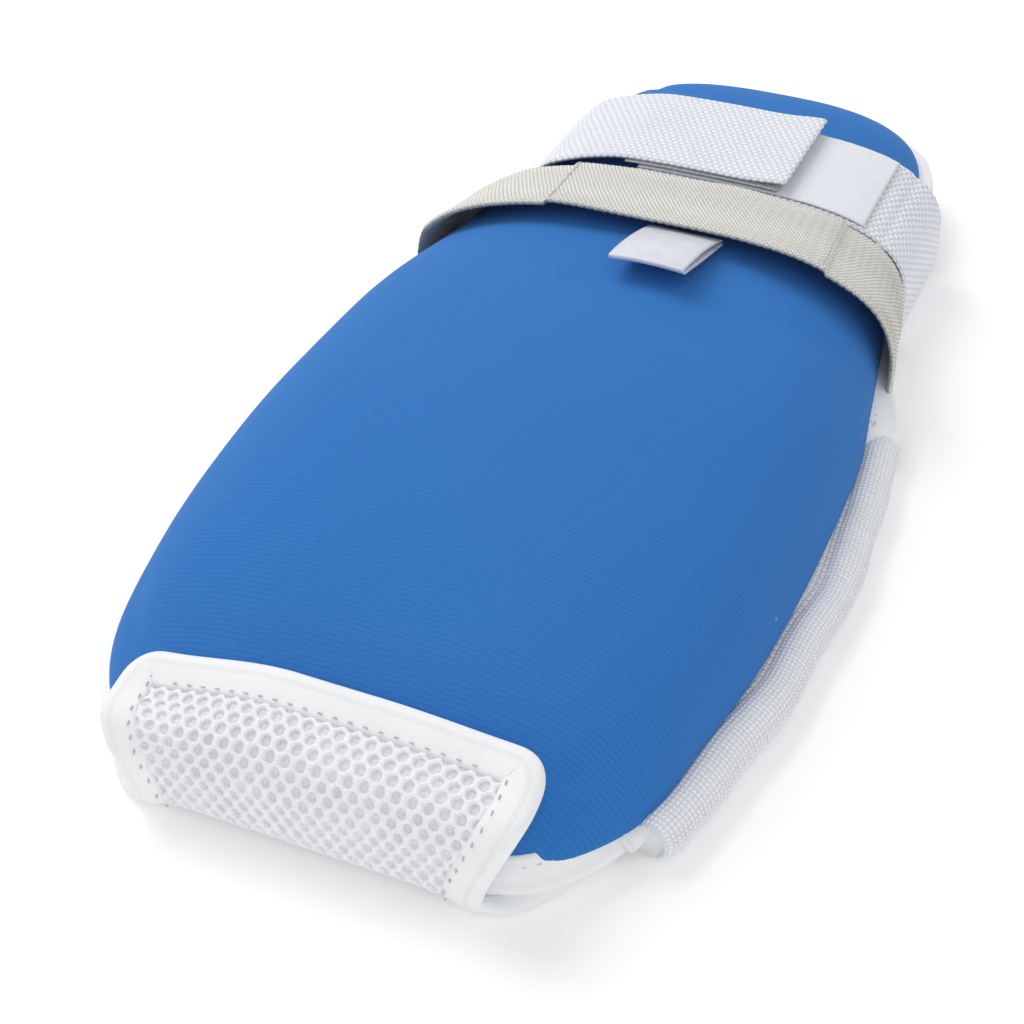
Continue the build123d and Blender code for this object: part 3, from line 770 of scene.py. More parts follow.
def net_piece(name, s_low, s_high, margin, ring, material, h_low, h_high):
    """Knitted net: a hexagon round each hole, shared with its neighbours, with rounded strands."""
    pitch_x, pitch_s = NET
    weld = {}
    flat, faces = [], []

    def point(x, s, h):
        key = (round(x * 2e5), round(s * 2e5), round(h * 1e6))
        if key not in weld:
            weld[key] = len(flat)
            flat.append((x, s, h))
        return weld[key]

    rows = int((s_high - s_low) / pitch_s)
    corner = [(0.5, 1 / 3), (0, 2 / 3), (-0.5, 1 / 3), (-0.5, -1 / 3), (0, -2 / 3), (0.5, -1 / 3)]
    steps = ring // 6
    outline = [
        ((a[0] * (steps - k) + b[0] * k) / steps, (a[1] * (steps - k) + b[1] * k) / steps)
        for a, b in zip(corner, corner[1:] + corner[:1]) for k in range(steps)
    ]
    for r in range(rows):
        s0 = s_low + (r + 0.5) * pitch_s
        limit = half_at(s0) - margin
        count = int(limit / pitch_x) + 1
        for c in range(-count, count + 1):
            x0 = (c + 0.5 * (r % 2)) * pitch_x
            if abs(x0) > limit:
                continue
            vary = 1 + 0.09 * noise.noise(Vector((x0 * 900, s0 * 900, 3.3)))
            slant = 0.25 * noise.noise(Vector((x0 * 60, s0 * 60, 8.1)))
            rim, lip, floor = [], [], []
            for ox, os in outline:
                turn = np.arctan2(os * pitch_s, ox * pitch_x)
                hx, hs = NET_HOLE[0] * cos(turn) * vary, NET_HOLE[1] * sin(turn) * vary
                hx += hs * slant
                ex, es = ox * pitch_x, os * pitch_s
                rim.append(point(x0 + ex, s0 + es, h_high))
                lip.append(point(x0 + hx * 1.12, s0 + hs * 1.12, h_high - 0.18 * MM))
                floor.append(point(x0 + hx, s0 + hs, h_low))
            for k in range(ring):
                j = (k + 1) % ring
                faces.append((rim[k], rim[j], lip[j], lip[k]))
                faces.append((lip[k], lip[j], floor[j], floor[k]))
    flat = np.array(flat)
    inside = np.minimum(half_at(flat[:, 1]) - np.abs(flat[:, 0]), SHEET_END - flat[:, 1])
    flat[:, 2] -= 0.75 * MM * (1 - ramp(inside, 5.2 * MM, 7.4 * MM))
    return new_object(name, wrap(*flat.T), faces, flat[:, 1::-1], [material], solid=False)


def sheet_piece(name, s_low, s_high, margin, h, thick, material):
    """Plain inner layer of the spacer mesh."""
    rows = np.arange(s_low, s_high, 2.0 * MM)
    columns = 61
    layers = []
    for level in (h, h - thick):
        grid = []
        for s in rows:
            x = np.linspace(-1, 1, columns) * (half_at(s) - margin)
            grid.append(wrap(x, np.full(columns, s), level))
        layers.append(np.array(grid))
    total = len(rows) * columns
    points = np.concatenate([layer.reshape(-1, 3) for layer in layers])
    top = grid_faces(len(rows), columns)
    under = [tuple(total + i for i in face[::-1]) for face in top]
    last = len(rows) - 1
    border = list(range(columns)) + [i * columns + columns - 1 for i in range(1, len(rows))]
    border += [total - 1 - j for j in range(1, columns)]
    border += [i * columns for i in range(last - 1, 0, -1)]
    sides = [(a, total + a, total + b, b) for a, b in zip(border, border[1:] + border[:1])]
    run = np.repeat(rows, columns)
    uv = np.column_stack([run, layers[0].reshape(-1, 3)[:, 0]])
    return new_object(name, points, top + under + sides, np.concatenate([uv, uv]), [material])


def binding_loop(width, thick):
    """Cross section of a folded bias tape: w inwards from its fold, h out of the sheet."""
    edge = 0.6 * MM
    fold = edge + thick * 0.5
    shape = []
    for angle in np.linspace(90, 270, 9):
        a = radians(angle)
        shape.append((-edge + fold * (1 + cos(a)) - fold * 0.35, thick / 2 * sin(a)))
    face = ((0.3, 0.52), (0.6, 0.49), (0.86, 0.42), (1.0, 0.33))
    lower = [(width * w, -thick * h) for w, h in face]
    return np.array(shape + lower + [(w, -h) for w, h in lower[::-1]])


def hem_height(loop, width, bulk, run):
    """Heights of a bias tape's cross section at run, pulled in and puckered at the stitches."""
    near = np.exp(-((loop[:, 0] - width * 0.8) / (1.2 * MM)) ** 2)
    height = loop[:, 1] * bulk
    pucker = 0.04 * MM * np.cos(2 * pi * run / STITCH)
    return height - np.sign(height) * near * (0.1 * MM + pucker)


def flap_border():
    """One bias tape along the sheet's free edge: mouth corner, up the flap, across it and back."""
    away = abs(SHEET_LINE[:, 0] - (FINGER_END + 27.5 * MM)) + SHEET_LINE[:, 1]
    s = np.arange(SHEET_RUN[np.argmin(away)], SHEET_END, 0.5 * MM)
    right = np.column_stack([half_at(s), s])
    x = right[-1, 0]
    top = np.column_stack([np.linspace(x, -x, 160), np.full(160, SHEET_END)])
    left = right[::-1] * (-1, 1)
    outline = smooth(spaced(np.vstack([right, top[1:-1], left]), 1.0 * MM), 5)
    way = directions(outline)
    inward = np.column_stack([-way[:, 1], way[:, 0]])
    loop = binding_loop(FLAP_BINDING, 3.3 * MM)
    run = lengths(outline)
    wave = ripple_along(run, 0.018, 2, 0.5 * MM)
    bulk = 1 + ripple_along(run, 0.011, 4, 0.1)
    rows = []
    for i, spot in enumerate(outline):
        x, s = (spot + inward[i] * (loop[:, :1] + wave[i] * 0.4)).T
        rows.append(wrap(x, s, hem_height(loop, FLAP_BINDING, bulk[i], run[i]) + wave[i] * 0.3))
    return tube_piece("flap_border", rows, run, lengths(loop), M["binding"])


def spacer_mesh():
    """The back and the flap: one net over one inner layer, split just before the nose."""
    meet = NOSE_RUN - 9.0 * MM
    back = net_piece("back_net", 1.0 * MM, meet, 1.0 * MM, 6, M["net"], 0.15 * MM, 1.25 * MM)
    inner = sheet_piece("back_inner", 1.5 * MM, meet, 1.0 * MM, 0.0, 1.2 * MM, M["backing"])
    fix(back, "spacer_mesh", "back_mesh_panel")
    fix(inner, "spacer_mesh")
    net = net_piece(
        "flap_net", meet, SHEET_END - 1.0 * MM, 3.0 * MM, 12, M["net"], 0.4 * MM, 1.3 * MM
    )
    lining = sheet_piece(
        "flap_inner", meet, SHEET_END - 1.5 * MM, 2.0 * MM, 0.6 * MM, 1.6 * MM, M["backing"]
    )
    border = flap_border()
    off = np.hypot(SHEET_LINE[:, 0] - SHOULDER[0], SHEET_LINE[:, 1] - SHOULDER[1])
    turn = SHEET_RUN[np.argmin(off)]
    loops = sheet_piece(
        "flap_loops", turn - 11 * MM, turn + 9 * MM, 13.0 * MM, -1.2 * MM, 0.6 * MM, M["pile"]
    )
    for piece, slot, *nodes in (
        (net, "spacer_mesh", "flap_mesh"),
        (lining, "spacer_mesh"),
        (border, "binding", "flap_binding", "back_mouth_binding_left", "back_mouth_binding_right"),
        (loops, "loop_pile", "flap_loop_patch"),
    ):
        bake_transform(piece)
        label(piece, slot, *nodes)


# ---- tapes that go round the wrist --------------------------------------------------------
RING_CENTRE_Z = 16.0 * MM


def ring_profile(names, y, start, stop, closed=False):
    """x and z of the outer face of these nodes, at polar angles about the middle of the wrist."""
    tree = tree_of(*names)
    angles = np.linspace(start, stop, int(abs(stop - start) * 2) + 1)[: -1 if closed else None]
    reach = [
        hit_from(tree, Vector((0, y, RING_CENTRE_Z)), Vector((cos(radians(a)), 0, sin(radians(a)))))
        for a in angles
    ]
    reach = smooth(fill_gaps(reach), 4, closed)
    turn = np.radians(angles)
    return np.column_stack([reach * np.cos(turn), RING_CENTRE_Z + reach * np.sin(turn)])


def tape_frame(lines, ys):
    """Grid of an outer face from its profile at each edge, with its directions across and out."""
    first, last = lines
    columns = len(ys)
    rows = len(first)
    share = ((ys - ys[0]) / (ys[-1] - ys[0]))[None, :, None]
    plane = first[:, None, :] * (1 - share) + last[:, None, :] * share
    grid = np.stack([plane[..., 0], np.repeat(ys[None], rows, 0), plane[..., 1]], -1)
    ahead = np.gradient(grid, axis=0)
    over = np.gradient(grid, axis=1)
    normal = np.cross(ahead, over)
    normal /= np.linalg.norm(normal, axis=2)[..., None]
    over /= np.linalg.norm(over, axis=2)[..., None]
    centre = np.array([0, ys.mean(), RING_CENTRE_Z])
    if ((grid - centre) * normal).sum() < 0:
        normal = -normal
    return grid, over, normal


def scallop(grid, over, pitch, size):
    """Woven edges: the outermost points step in and out with each weft yarn."""
    run = lengths(grid[:, 0])[: len(grid)]
    edge = size * np.abs(np.sin(pi * run / pitch))[:, None]
    for column, way in ((0, -1), (1, -0.4), (-1, 1), (-2, 0.4)):
        grid[:, column] += over[:, column] * edge * way
    return grid


def free_end(node, angles):
    """The first of these polar angles at which a strap arm is met."""
    tree, low_high = tree_of(node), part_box(node)
    y = (low_high[0].y + low_high[1].y) / 2
    for angle in angles:
        way = Vector((cos(radians(angle)), 0, sin(radians(angle))))
        if hit_from(tree, Vector((0, y, RING_CENTRE_Z)), way) is not None:
            return angle
    return angles[-1]


def strap_arm(name, nodes, scan, stop, height, skew, lift):
    """Half of the wrist strap: from its free end over the top and down round the side."""
    low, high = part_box(nodes[0])
    start = free_end(nodes[0], scan)
    middle = (low.y + high.y) / 2
    line = spaced(ring_profile(nodes, middle, start, stop), GRID)
    run = lengths(line)
    free = 1 - ramp(run, 0, 18 * MM)
    ys = np.linspace(low.y + 0.3 * MM, high.y - 0.3 * MM, int((high.y - low.y) / GRID) + 1)
    grid, over, normal = tape_frame((line, line), ys)
    top = 1 - ramp(run, run[-1] * 0.28, run[-1] * 0.5)
    grid[..., 1] += (skew * top)[:, None]
    grid[..., 2] += (lift * free ** 2)[:, None]
    grid = scallop(grid, over, STRAP_DOT[0], 0.35 * MM)
    return tape_piece(name, grid, over, normal, TAPE, woven(STRAP_DOT, height), M["strap"])


def wrist_strap():
    hook = strap_arm(
        "hook_strap", ("hook_arm_tape", "wrist_strap_base"), np.arange(20, 120, 0.5), 268.0,
        0.3 * MM, 1.5 * MM, 1.2 * MM,
    )
    loop = strap_arm(
        "loop_strap", ("loop_arm_tape", "wrist_strap_base"), np.arange(160, 60, -0.5), -87.0,
        0.22 * MM, 0.0, 0.0,
    )
    for piece, arm, *nodes in (
        (hook, "hook_arm", "hook_arm_tape"),
        (loop, "loop_arm", "loop_arm_tape", "wrist_strap_base"),
    ):
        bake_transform(piece)
        label(piece, "strap_tape", *nodes)


def arm_fields():
    """A fine field of hooks or pile on one face of each strap arm, over the CAD field's surface."""
    for node, arm, slot, material in (
        ("hook_arm_hooks", "hook_arm", "hook_tape", M["hooks"]),
        ("loop_arm_pile", "loop_arm", "loop_pile", M["pile"]),
    ):
        low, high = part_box(node)
        start = free_end(node, np.arange(20, 130, 0.5)) + 0.5
        stop = free_end(node, np.arange(170, 60, -0.5)) - 0.5
        line = spaced(ring_profile((node,), (low.y + high.y) / 2, start, stop), 1.0 * MM)
        grid, over, normal = tape_frame((line, line), np.linspace(low.y, high.y, 37))
        rough = ripple(grid.reshape(-1, 3), 0.0022, 3, 0.12 * MM).reshape(grid.shape[:2])
        grid += normal * rough[..., None]
        sunk = grid - normal * 0.02 * MM
        nap = tape_piece(node + "_nap", sunk, over, normal, 0.55 * MM, no_relief, material)
        fix(nap, slot, node, body=arm)


# ---- webbing band -------------------------------------------------------------------------
BAND_JOIN = ((-26.5, -31.0), (46.3, 42.8))      # x of each cross seam at the two edges, in mm
SEAM_STITCHES = 15


def evenly(points, count):
    """A closed line as count evenly spaced points."""
    run = lengths(points, True)
    loop = np.vstack([points, points[:1]])
    where = np.arange(count) * run[-1] / count
    return np.column_stack([np.interp(where, run, loop[:, k]) for k in (0, 1)])


def join_at(u):
    """x of the two cross seams at the share u of the band's width."""
    return [(a + (b - a) * u) * MM for a, b in BAND_JOIN]


def webbing_band():
    low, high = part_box("webbing_band")
    ys = np.linspace(low.y + 0.2 * MM, high.y - 0.2 * MM, int((high.y - low.y) / GRID) + 1)
    edges = [
        ring_profile(("webbing_band",), y, -90, 270, closed=True)
        for y in (low.y + MM, high.y - MM)
    ]
    count = int(round(lengths(edges[0], True)[-1] / GRID))
    grid, over, normal = tape_frame([evenly(edge, count) for edge in edges], ys)
    # the ends of the closed run meet, so its first and last rows take their neighbours' directions
    both = normal[1] + normal[-2]
    normal[0] = normal[-1] = both / np.linalg.norm(both, axis=1)[:, None]
    share = np.repeat(np.linspace(0, 1, len(ys))[None], count, 0)
    left, right = join_at(share)
    x = grid[..., 0]
    doubled = ramp(x, left - 0.7 * MM, left) * (1 - ramp(x, right, right + 0.7 * MM))
    doubled = doubled * (grid[..., 2] > RING_CENTRE_Z)
    grid -= normal * (1.0 * (1 - doubled) * MM)[..., None] * 0.9
    wave = ripple(grid.reshape(-1, 3), 0.02, 6, 0.7 * MM).reshape(grid.shape[:2])
    grid += normal * wave[..., None]
    grid = scallop(grid, over, 2.1 * MM, 0.45 * MM)
    relief = woven(BAND_YARN, 0.28 * MM)
    band = tape_piece("band", grid, over, normal, 1.3 * MM, relief, M["cream"], closed=True)
    fix(band, "cream_webbing", "webbing_band")
    tree = tree_over(band.data)
    for k, (inset, *nodes) in enumerate(((0.8, "band_seam_stitches"), (-0.8,))):
        stitches = []
        for u in (np.arange(SEAM_STITCHES) + 0.5) / SEAM_STITCHES:
            x, y = join_at(u)[k] + inset * MM, low.y + (high.y - low.y) * u
            spot = tree.ray_cast(Vector((x, y, 0.08)), Vector((0, 0, -1)))[0]
            if spot:
                stitches.append((spot, Vector((0.35, 1, 0))))
        row = thread_row(f"band_seam_{k}", stitches, 1.5 * MM, 0.3 * MM, M["cream_thread"])
        fix(row, "cream_thread", *nodes)


def thread_row(name, stitches, length, radius, material):
    """Short rounded stitches: (place, direction) pairs, each a capsule half sunk in the cloth."""
    points, faces = [], []
    rings = [(-0.5, 0.25), (-0.42, 0.8), (-0.2, 1.0), (0.2, 1.0), (0.42, 0.8), (0.5, 0.25)]
    for place, way in stitches:
        way = Vector(way).normalized()
        side = way.cross(Vector((0, 0, 1)))
        side = side.normalized() if side.length > 0.1 else Vector((1, 0, 0))
        up = side.cross(way)
        start = len(points)
        for t, r in rings:
            for a in range(8):
                turn = 2 * pi * a / 8
                rim = (side * cos(turn) + up * sin(turn)) * radius * r
                points.append(place + way * t * length + rim)
        ends = range(start, start + 8), range(len(points) - 8, len(points))
        sides = grid_faces(len(rings), 8, closed_columns=True)
        faces += [tuple(start + i for i in face) for face in sides]
        faces += [tuple(ends[0])[::-1], tuple(ends[1])]
    return new_object(name, points, faces, None, [material])


# ---- webbing sleeves and the bound side seams ----------------------------------------------
def side_path(node, side):
    """Plan line of the outer edge of a node along one side, as [y, x] rows."""
    tree = tree_of(node)
    low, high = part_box(node)
    sign = -1 if side == "left" else 1
    ys = np.linspace(low.y + 0.6 * MM, high.y - 0.6 * MM, 60)
    z = 5.4 * MM
    reach = [hit_from(tree, Vector((0, y, z)), Vector((sign, 0, 0))) for y in ys]
    return np.column_stack([sign * fill_gaps(reach), ys])


def sleeve_section():
    """Cross section of the sleeve: the tube, then its sewn flange."""
    turn = np.radians(np.linspace(-150, 122, TUBE_POINTS))
    tube = [(SLEEVE_RADIUS * cos(t), SLEEVE_RADIUS * sin(t)) for t in turn]
    flange = [
        (-4.6, 4.75), (-6.0, 4.95), (-7.4, 5.0), (-8.8, 4.95), (-8.9, 4.2), (-7.4, 4.0), (-5.6, 3.4)
    ]
    return np.array(tube + [(a * MM, b * MM) for a, b in flange])


def webbing_sleeve(side):
    """Webbing folded round the side seam: a puffy tube outside a flat sewn flange."""
    sign = -1 if side == "left" else 1
    line = side_path("side_sleeve_" + side, side)
    if side == "left":
        line[:, 0] += 6 * MM * (1 - ramp(line[:, 1] - FINGER_END, 112 * MM, 165 * MM))
    line = smooth(spaced(line[line[:, 1] > line[0, 1] + 2.6 * MM], 0.36 * MM), 12)
    way = directions(line)
    outward = np.column_stack([way[:, 1], -way[:, 0]]) * sign
    outward *= np.sign((outward[:, :1] * sign))
    run = lengths(line)
    total = run[-1]
    lumps = ripple_along(run, 0.016, 11 + sign, 2.2 * MM)
    kinks = ripple_along(run, 0.026, 5 + sign, 2.4 * MM, 0.3)
    ends = np.clip(np.minimum(run, total - run) / (4.0 * MM), 0, 1)
    ends = 0.72 + 0.28 * np.sqrt(1 - (1 - ends) ** 2)
    section = sleeve_section()
    arc = lengths(section)
    normal = section / np.linalg.norm(section, axis=1)[:, None]
    tube = np.arange(len(section)) < TUBE_POINTS
    up = np.where(tube, normal[:, 1], section[:, 1] > 4.3 * MM)
    rows = []
    for i in range(len(line)):
        size = np.where(tube, ends[i] * (1 + lumps[i] / SLEEVE_RADIUS * 0.35), 1)
        rib = np.abs(np.cos(pi * run[i] / SLEEVE_RIB[0])) ** 0.8
        turned = 0.5 * (int(run[i] / SLEEVE_RIB[0] + 0.5) % 2)
        dots = 0.65 + 0.35 * np.cos(2 * pi * (arc / SLEEVE_RIB[1] + turned))
        lift = 0.3 * MM * rib * dots
        across = section[:, 0] * size + kinks[i] * 0.8 + normal[:, 0] * lift * tube
        z = 5.35 * MM + section[:, 1] * size + up * lift
        centre = line[i] - outward[i] * (SLEEVE_RADIUS + 0.1 * MM)
        spot = centre[None] + outward[i][None] * across[:, None]
        rows.append(np.column_stack([spot, np.maximum(z, 0.25 * MM + 0.3 * lift)]))
    rows = np.array(rows)
    count, around = rows.shape[:2]
    faces = grid_faces(count, around, closed_columns=True)
    points, uv, caps = list(rows.reshape(-1, 3)), list(grid_uvs(run, arc)), []
    for row, inset in ((0, 1), (count - 1, -1)):
        middle = rows[row][:TUBE_POINTS].mean(0)
        ahead = np.array([*way[row], 0]) * inset * MM
        base, ring = row * around, len(points)
        centre = ring + around
        points += [*(middle + (rows[row] - middle) * 0.82 + ahead * 1.1), middle + ahead * 1.3]
        uv += [(run[row], a) for a in arc] + [(run[row], 0.0)]
        for p in range(around):
            q = (p + 1) % around
            quad = (base + p, base + q, ring + q, ring + p)
            wedge = (ring + p, ring + q, centre)
            caps += [quad, wedge] if inset < 0 else [quad[::-1], wedge[::-1]]
    slots = [0] * len(faces) + [1] * len(caps)
    cloths = [M["sleeve"], M["binding"]]
    piece = new_object("sleeve_" + side, points, faces + caps, uv, cloths, slots)
    fix(piece, "white_webbing", "side_sleeve_" + side)
    stitches = []
    for k in np.arange(3 * MM, total - 2 * MM, 3.3 * MM):
        i = int(k / total * (len(line) - 1))
        spot = line[i] - outward[i] * (SLEEVE_RADIUS + 4.9 * MM - kinks[i] * 0.8)
        stitches.append((Vector((*spot, 10.45 * MM)), Vector((*way[i], 0))))
    row = thread_row("sleeve_thread_" + side, stitches, 1.7 * MM, 0.3 * MM, M["thread"])
    fix(row, "thread", "sleeve_stitches_" + side)


def folded_tape(names, nodes, line, width, thick, lean, seed, stitch):
    """A bias tape folded over an edge and sewn through, with stitches on both its faces.

    names are those of the tape and its thread, and nodes the CAD nodes that each replaces. line
    gives the fold; lean is the direction from fold to hem. stitch is a stitch's length and radius.
    """
    line = spaced(np.asarray(line, float), 0.8 * MM)
    run = lengths(line)
    way = directions(line)
    lean = np.atleast_2d(np.asarray(lean, float))
    where = np.linspace(0, 1, len(lean))
    lean = np.column_stack([np.interp(run / run[-1], where, lean[:, k]) for k in range(3)])
    lean = lean - way * (lean * way).sum(1)[:, None]
    lean /= np.linalg.norm(lean, axis=1)[:, None]
    face = np.cross(way, lean)
    loop = binding_loop(width, thick)
    bulk = 1 + ripple_along(run, 0.012, seed, 0.12)
    rows = []
    for i in range(len(line)):
        height = hem_height(loop, width, bulk[i], run[i])
        rows.append(line[i] + lean[i] * loop[:, :1] + face[i] * height[:, None])
    piece = tube_piece(names[0], rows, run, lengths(loop), M["binding"])
    fix(piece, "binding", nodes[0])
    stitches = []
    for k in np.arange(2 * MM, run[-1] - MM, STITCH):
        i = int(np.argmin(abs(run - k)))
        for side in (-1, 1):
            h = (thick / 2 - 0.3 * MM) * side
            place = line[i] + lean[i] * width * 0.68 + face[i] * h
            stitches.append((Vector(place), Vector(way[i])))
    fix(thread_row(names[1], stitches, *stitch, M["thread"]), "thread", *nodes[1:])


def seam_binding(side):
    """Smooth white binding of the side seam; it shows past the upper end of the sleeve."""
    line = smooth(side_path("side_seam_" + side, side), 4)
    sign = -1 if side == "left" else 1
    fold = np.column_stack([line, np.full(len(line), 6.4 * MM)])
    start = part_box("side_sleeve_" + side)[1].y - 4 * MM
    rise = ramp(fold[:, 1], start - 6 * MM, start + 4 * MM)
    fold[:, 0] -= sign * (1 - rise) * 3.5 * MM
    fold[:, 0] += sign * rise * 1.2 * MM
    fold[:, 2] += rise * 1.8 * MM
    folded_tape(
        ("seam_binding_" + side, "seam_thread_" + side), ("side_seam_" + side,), fold,
        9.0 * MM, 3.4 * MM, (-sign, 0, 0.45), 7, (1.4 * MM, 0.22 * MM),
    )


def edge_of(node, z):
    """Plan points of the outer face of a binding from one end round to the other."""
    tree = tree_of(node)
    low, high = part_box(node)
    finger = low.y + high.y < 0
    centre = Vector((0, high.y + 30 * MM if finger else low.y - 30 * MM, z))
    found = []
    for angle in np.linspace(-160, -20, 141) if finger else np.linspace(160, 20, 141):
        way = Vector((cos(radians(angle)), sin(radians(angle)), 0))
        reach = hit_from(tree, centre, way)
        if reach is not None:
            found.append(centre + way * reach)
    return smooth(np.array(found), 6)


def mouth_binding():
    """Binding of the pad's open edge: it stands on edge round the mouth, under the pad."""
    low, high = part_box("palm_mouth_binding")
    line = smooth(spaced(edge_of("palm_mouth_binding", 12 * MM), 1.0 * MM), 8)
    # both ends are run on beside the pad, and the left one then stops under the flap
    reach = (7.0 * MM * 0.55, 9.0 * MM * 0.9)
    first, last = line[0] + (-reach[0], reach[1], 0), line[-1] + (reach[0], reach[1], 0)
    line = smooth(spaced(np.vstack([first, line, last]), 1.0 * MM), 8)
    line = line[line[:, 0] > -43 * MM]
    line[:, 2] = low.z - 3.4 * MM
    line[:, 1] += 0.6 * MM - 1.6 * MM * ramp(line[:, 0], 38 * MM, 46 * MM)
    full = np.ones(len(line))
    inward = np.column_stack([-line[:, 0] * 0.25, full * 6 * MM, full * 30 * MM])
    folded_tape(
        ("mouth_binding", "mouth_thread"), ("palm_mouth_binding", "palm_mouth_stitches"), line,
        7.6 * MM, 2.6 * MM, inward, 3, (1.1 * MM, 0.2 * MM),
    )


def cuff_bindings():
    for name, node in (("palm_cuff", "palm_cuff_binding"), ("back_cuff", "back_cuff_binding")):
        low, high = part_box(node)
        z = (low.z + high.z) / 2
        line = edge_of(node, z)
        line[:, 2] = z
        full = np.ones(len(line))
        inward = np.column_stack([-line[:, 0] * 0.6, full * -60 * MM, full * 0])
        line[:, 1] -= 1.0 * MM
        folded_tape(
            (name, name + "_thread"), (node,), line,
            BINDING, 3.0 * MM, inward, 4, (1.4 * MM, 0.22 * MM),
        )


# ---- satin tab ----------------------------------------------------------------------------
def satin_tab():
    """A satin tape folded to a loop: two layers with a rounded fold at the free end."""
    low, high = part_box("satin_tab")
    root = JOINTS["tab_lift"]
    length, half = 28.0 * MM, 0.9 * MM      # half the height of the folded end
    steps = np.linspace(0, 1, 22)
    profile = [(t * length, half + 1.1 * MM * sin(pi * t) ** 0.8) for t in steps]
    for angle in np.linspace(80, -80, 9):
        profile.append((length + half * cos(radians(angle)), half * sin(radians(angle))))
    profile += [(t * length, -half - 0.2 * MM * sin(pi * t)) for t in steps[::-1]]
    profile = spaced(np.array(profile), 0.5 * MM)
    slope = radians(14)
    y = root.y + 3.5 * MM - profile[:, 0] * cos(slope) - profile[:, 1] * sin(slope)
    z = root.z - 0.6 * MM + profile[:, 0] * sin(slope) + profile[:, 1] * cos(slope)
    way = directions(np.column_stack([y, z]))
    normal = np.column_stack([way[:, 1], -way[:, 0]])
    if normal[5, 1] < 0:
        normal = -normal
    width = np.linspace(-9.4, 9.4, 25) * MM
    middle = (low.x + high.x) / 2
    bow = 0.9 * MM * (1 - (width / width[-1]) ** 2)
    outer, inner = [], []
    for i in range(len(y)):
        share = bow * np.sin(pi * np.clip(profile[i, 0] / length, 0, 1) * 0.8)
        x = middle + width - 0.6 * MM * profile[i, 0] / length
        base = np.column_stack([x, np.full(25, y[i]), z[i] + share])
        step = np.array([0, normal[i, 0], normal[i, 1]])
        outer.append(base)
        inner.append(base - step * 0.45 * MM)
    outer, inner = np.array(outer), np.array(inner)
    rows = len(outer)
    loop = np.concatenate([outer, inner[:, ::-1]], 1)
    around = loop.shape[1]
    faces = grid_faces(rows, around, closed_columns=True)
    for row, flip in ((0, True), (rows - 1, False)):
        for j in range(24):
            face = [row * around + k for k in (j, j + 1, around - 2 - j, around - 1 - j)]
            faces.append(tuple(face if flip else face[::-1]))
    uvs = grid_uvs(lengths(profile), np.concatenate([width, width[::-1]]))
    piece = new_object("tab", loop.reshape(-1, 3), faces, uvs, [M["satin"]])
    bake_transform(piece)
    label(piece, "satin", "satin_tab")


# ---- hook patch and the flap's sewing thread -----------------------------------------------
def hook_patch():
    """Rough hook tape sewn to the pad's nose."""
    tree = tree_of("palm_hook_patch", "palm_cover")
    low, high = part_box("palm_hook_patch")
    xs = np.linspace(-37, 37, 112) * MM
    zs = np.linspace(low.z - 0.3 * MM, high.z - 2.2 * MM, 18)
    rows = []
    for z in zs:
        line = []
        for x in xs:
            start = Vector((x, low.y - 0.05, min(z, 24 * MM)))
            found = tree.ray_cast(start, Vector((0, 1, 0)))[0]
            line.append(found.y if found else None)
        line = smooth(fill_gaps(line), 2)
        level = np.full(len(xs), z)
        rough = ripple(np.column_stack([xs, xs * 0, level]), 0.0013, 9, 0.35 * MM)
        rows.append(np.column_stack([xs, line - 0.6 * MM + rough, level]))
    grid = np.array(rows)
    over, normal = np.zeros_like(grid), np.zeros_like(grid)
    over[..., 0], normal[..., 1] = 1, -1
    piece = tape_piece("hook_field", grid, over, normal, 0.7 * MM, no_relief, M["hooks"])
    fix(piece, "hook_tape", "palm_hook_patch")


def flap_thread():
    """Stitches along the inner hem of the flap's binding, on its outer face."""
    s = np.arange(NOSE_RUN - 22 * MM, SHEET_END - 6 * MM, STITCH)
    inset = FLAP_BINDING * 0.87
    spots = [(side * (half_at(v) - inset), v, 0, MM) for side in (1, -1) for v in s]
    limit = half_at(SHEET_END) - inset - 2 * MM
    spots += [(x, SHEET_END - inset, MM, 0) for x in np.arange(-limit, limit, STITCH)]
    stitches = []
    for x, v, step_x, step_v in spots:
        place, ahead = wrap(np.array([x, x + step_x]), np.array([v, v + step_v]), 1.55 * MM)
        stitches.append((Vector(place), Vector(ahead - place)))
    row = thread_row("flap_thread", stitches, 1.1 * MM, 0.2 * MM, M["thread"])
    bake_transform(row)
    label(row, "thread", "flap_stitches")


# ---- what lies inside the pad --------------------------------------------------------------
def copied(name, node, slot, shape, shade=True):
    """A CAD node's own mesh, with its points moved by shape."""
    mesh = frame["nodes"][node].data
    points = shape(np.array([v.co for v in mesh.vertices]))
    faces = [p.vertices[:] for p in mesh.polygons]
    fix(new_object(name, points, faces, None, [M[slot]], shade=shade), slot, node)


def foam_points(points):
    """The foam, drawn in far enough to stay under the sewn creases."""
    low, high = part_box("palm_foam_core")
    middle = np.array([(low.x + high.x) / 2, (low.y + high.y) / 2, low.z])
    return middle + (points - middle) * (0.9, 0.96, 0.84)


def lining_points(points):
    """The flat lining, drawn in so that the pad's rim covers its edge."""
    points = points * (0.94, 1, 1)
    points[:, 1] = np.maximum(points[:, 1], FINGER_END + 12 * MM)
    return points


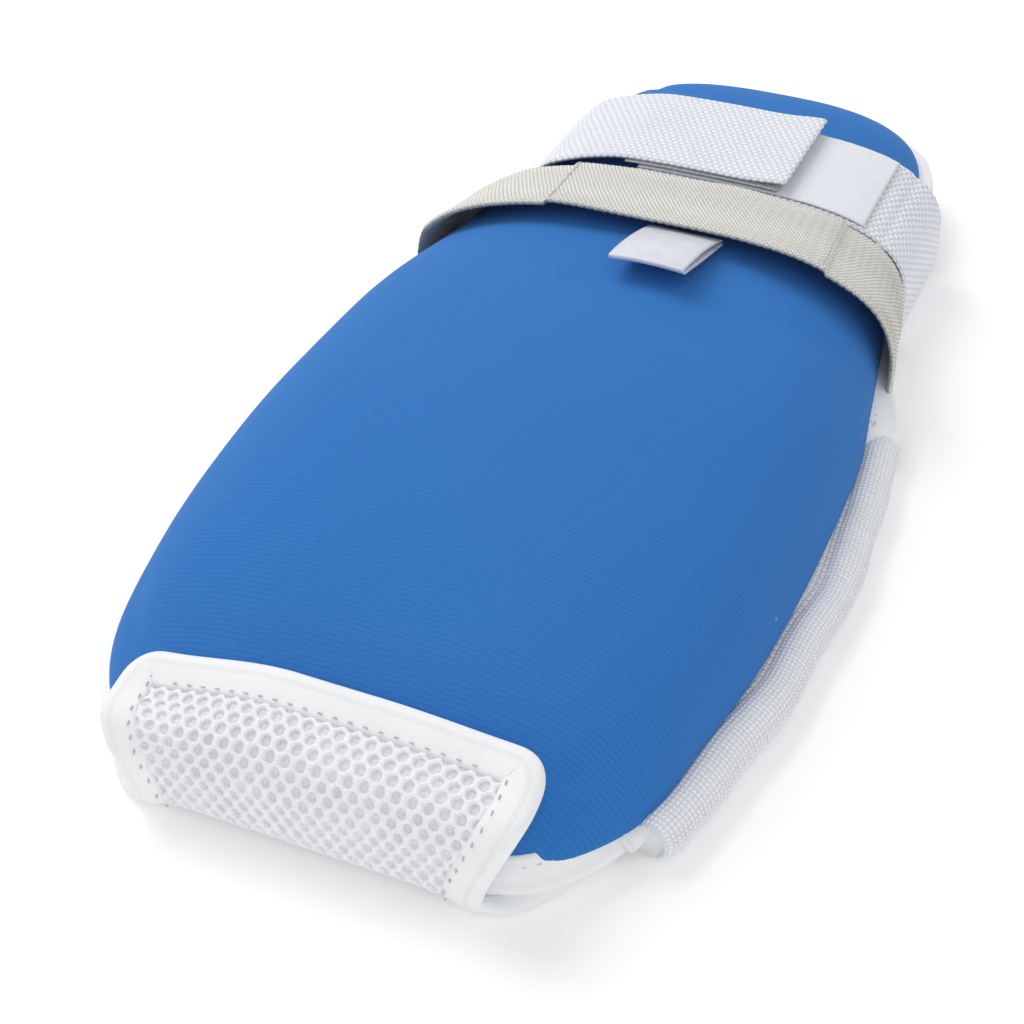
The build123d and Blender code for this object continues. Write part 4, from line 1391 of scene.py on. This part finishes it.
def main_pieces():
    palm_pad()
    copied("foam_core", "palm_foam_core", "foam", foam_points)
    spacer_mesh()
    wrist_strap()
    arm_fields()
    webbing_band()
    for side in ("left", "right"):
        webbing_sleeve(side)
        seam_binding(side)
    mouth_binding()
    cuff_bindings()
    satin_tab()
    hook_patch()
    flap_thread()
    copied("lining_sheet", "palm_lining", "lining", lining_points, shade=False)


main_pieces()


# ---- floor, light and camera --------------------------------------------------------------
def stage():
    """A white floor just under the mitt, a plain studio world and two soft lamps."""
    size = 6.0
    corners = [(-size, -size, 0), (size, -size, 0), (size, size, 0), (-size, size, 0)]
    floor = new_object("floor", corners, [(0, 1, 2, 3)], None, [floor_material()])
    floor.location.z = -0.1 * MM
    scene = bpy.context.scene
    world = bpy.data.worlds.new("studio")
    world.use_nodes = True
    colour, strength = world.node_tree.nodes["Background"].inputs[:2]
    colour.default_value = rgb(1.0, 1.0, 1.0)
    strength.default_value = 0.62
    scene.world = world
    scene.view_settings.view_transform = "Standard"
    lamps = (("key", (-0.75, 0.35, 1.05), 9.0, 0.9), ("fill", (0.6, -0.9, 0.9), 3.0, 1.0))
    for name, place, power, wide in lamps:
        data = bpy.data.lights.new(name, "AREA")
        data.energy = power
        data.size = wide
        lamp = bpy.data.objects.new(name, data)
        lamp.location = place
        lamp.rotation_euler = (-Vector(place)).to_track_quat("-Z", "Y").to_euler()
        scene.collection.objects.link(lamp)


def camera():
    """The camera that was fitted to the photograph: it looks down at the mitt from its fingers."""
    azimuth, elevation, distance = radians(23.29), radians(38.21), 0.4728
    aim = Vector((-0.00622, -0.03556, 0.0))
    back = Vector((sin(azimuth) * cos(elevation), -cos(azimuth) * cos(elevation), sin(elevation)))
    data = bpy.data.cameras.new("camera")
    data.lens, data.sensor_width = 70.3, 36.0
    data.clip_start, data.clip_end = 0.01, 20.0
    eye = bpy.data.objects.new("camera", data)
    eye.location = aim + back * distance
    eye.rotation_euler = (-back).to_track_quat("-Z", "Y").to_euler()
    bpy.context.scene.collection.objects.link(eye)
    bpy.context.scene.camera = eye


stage()
camera()
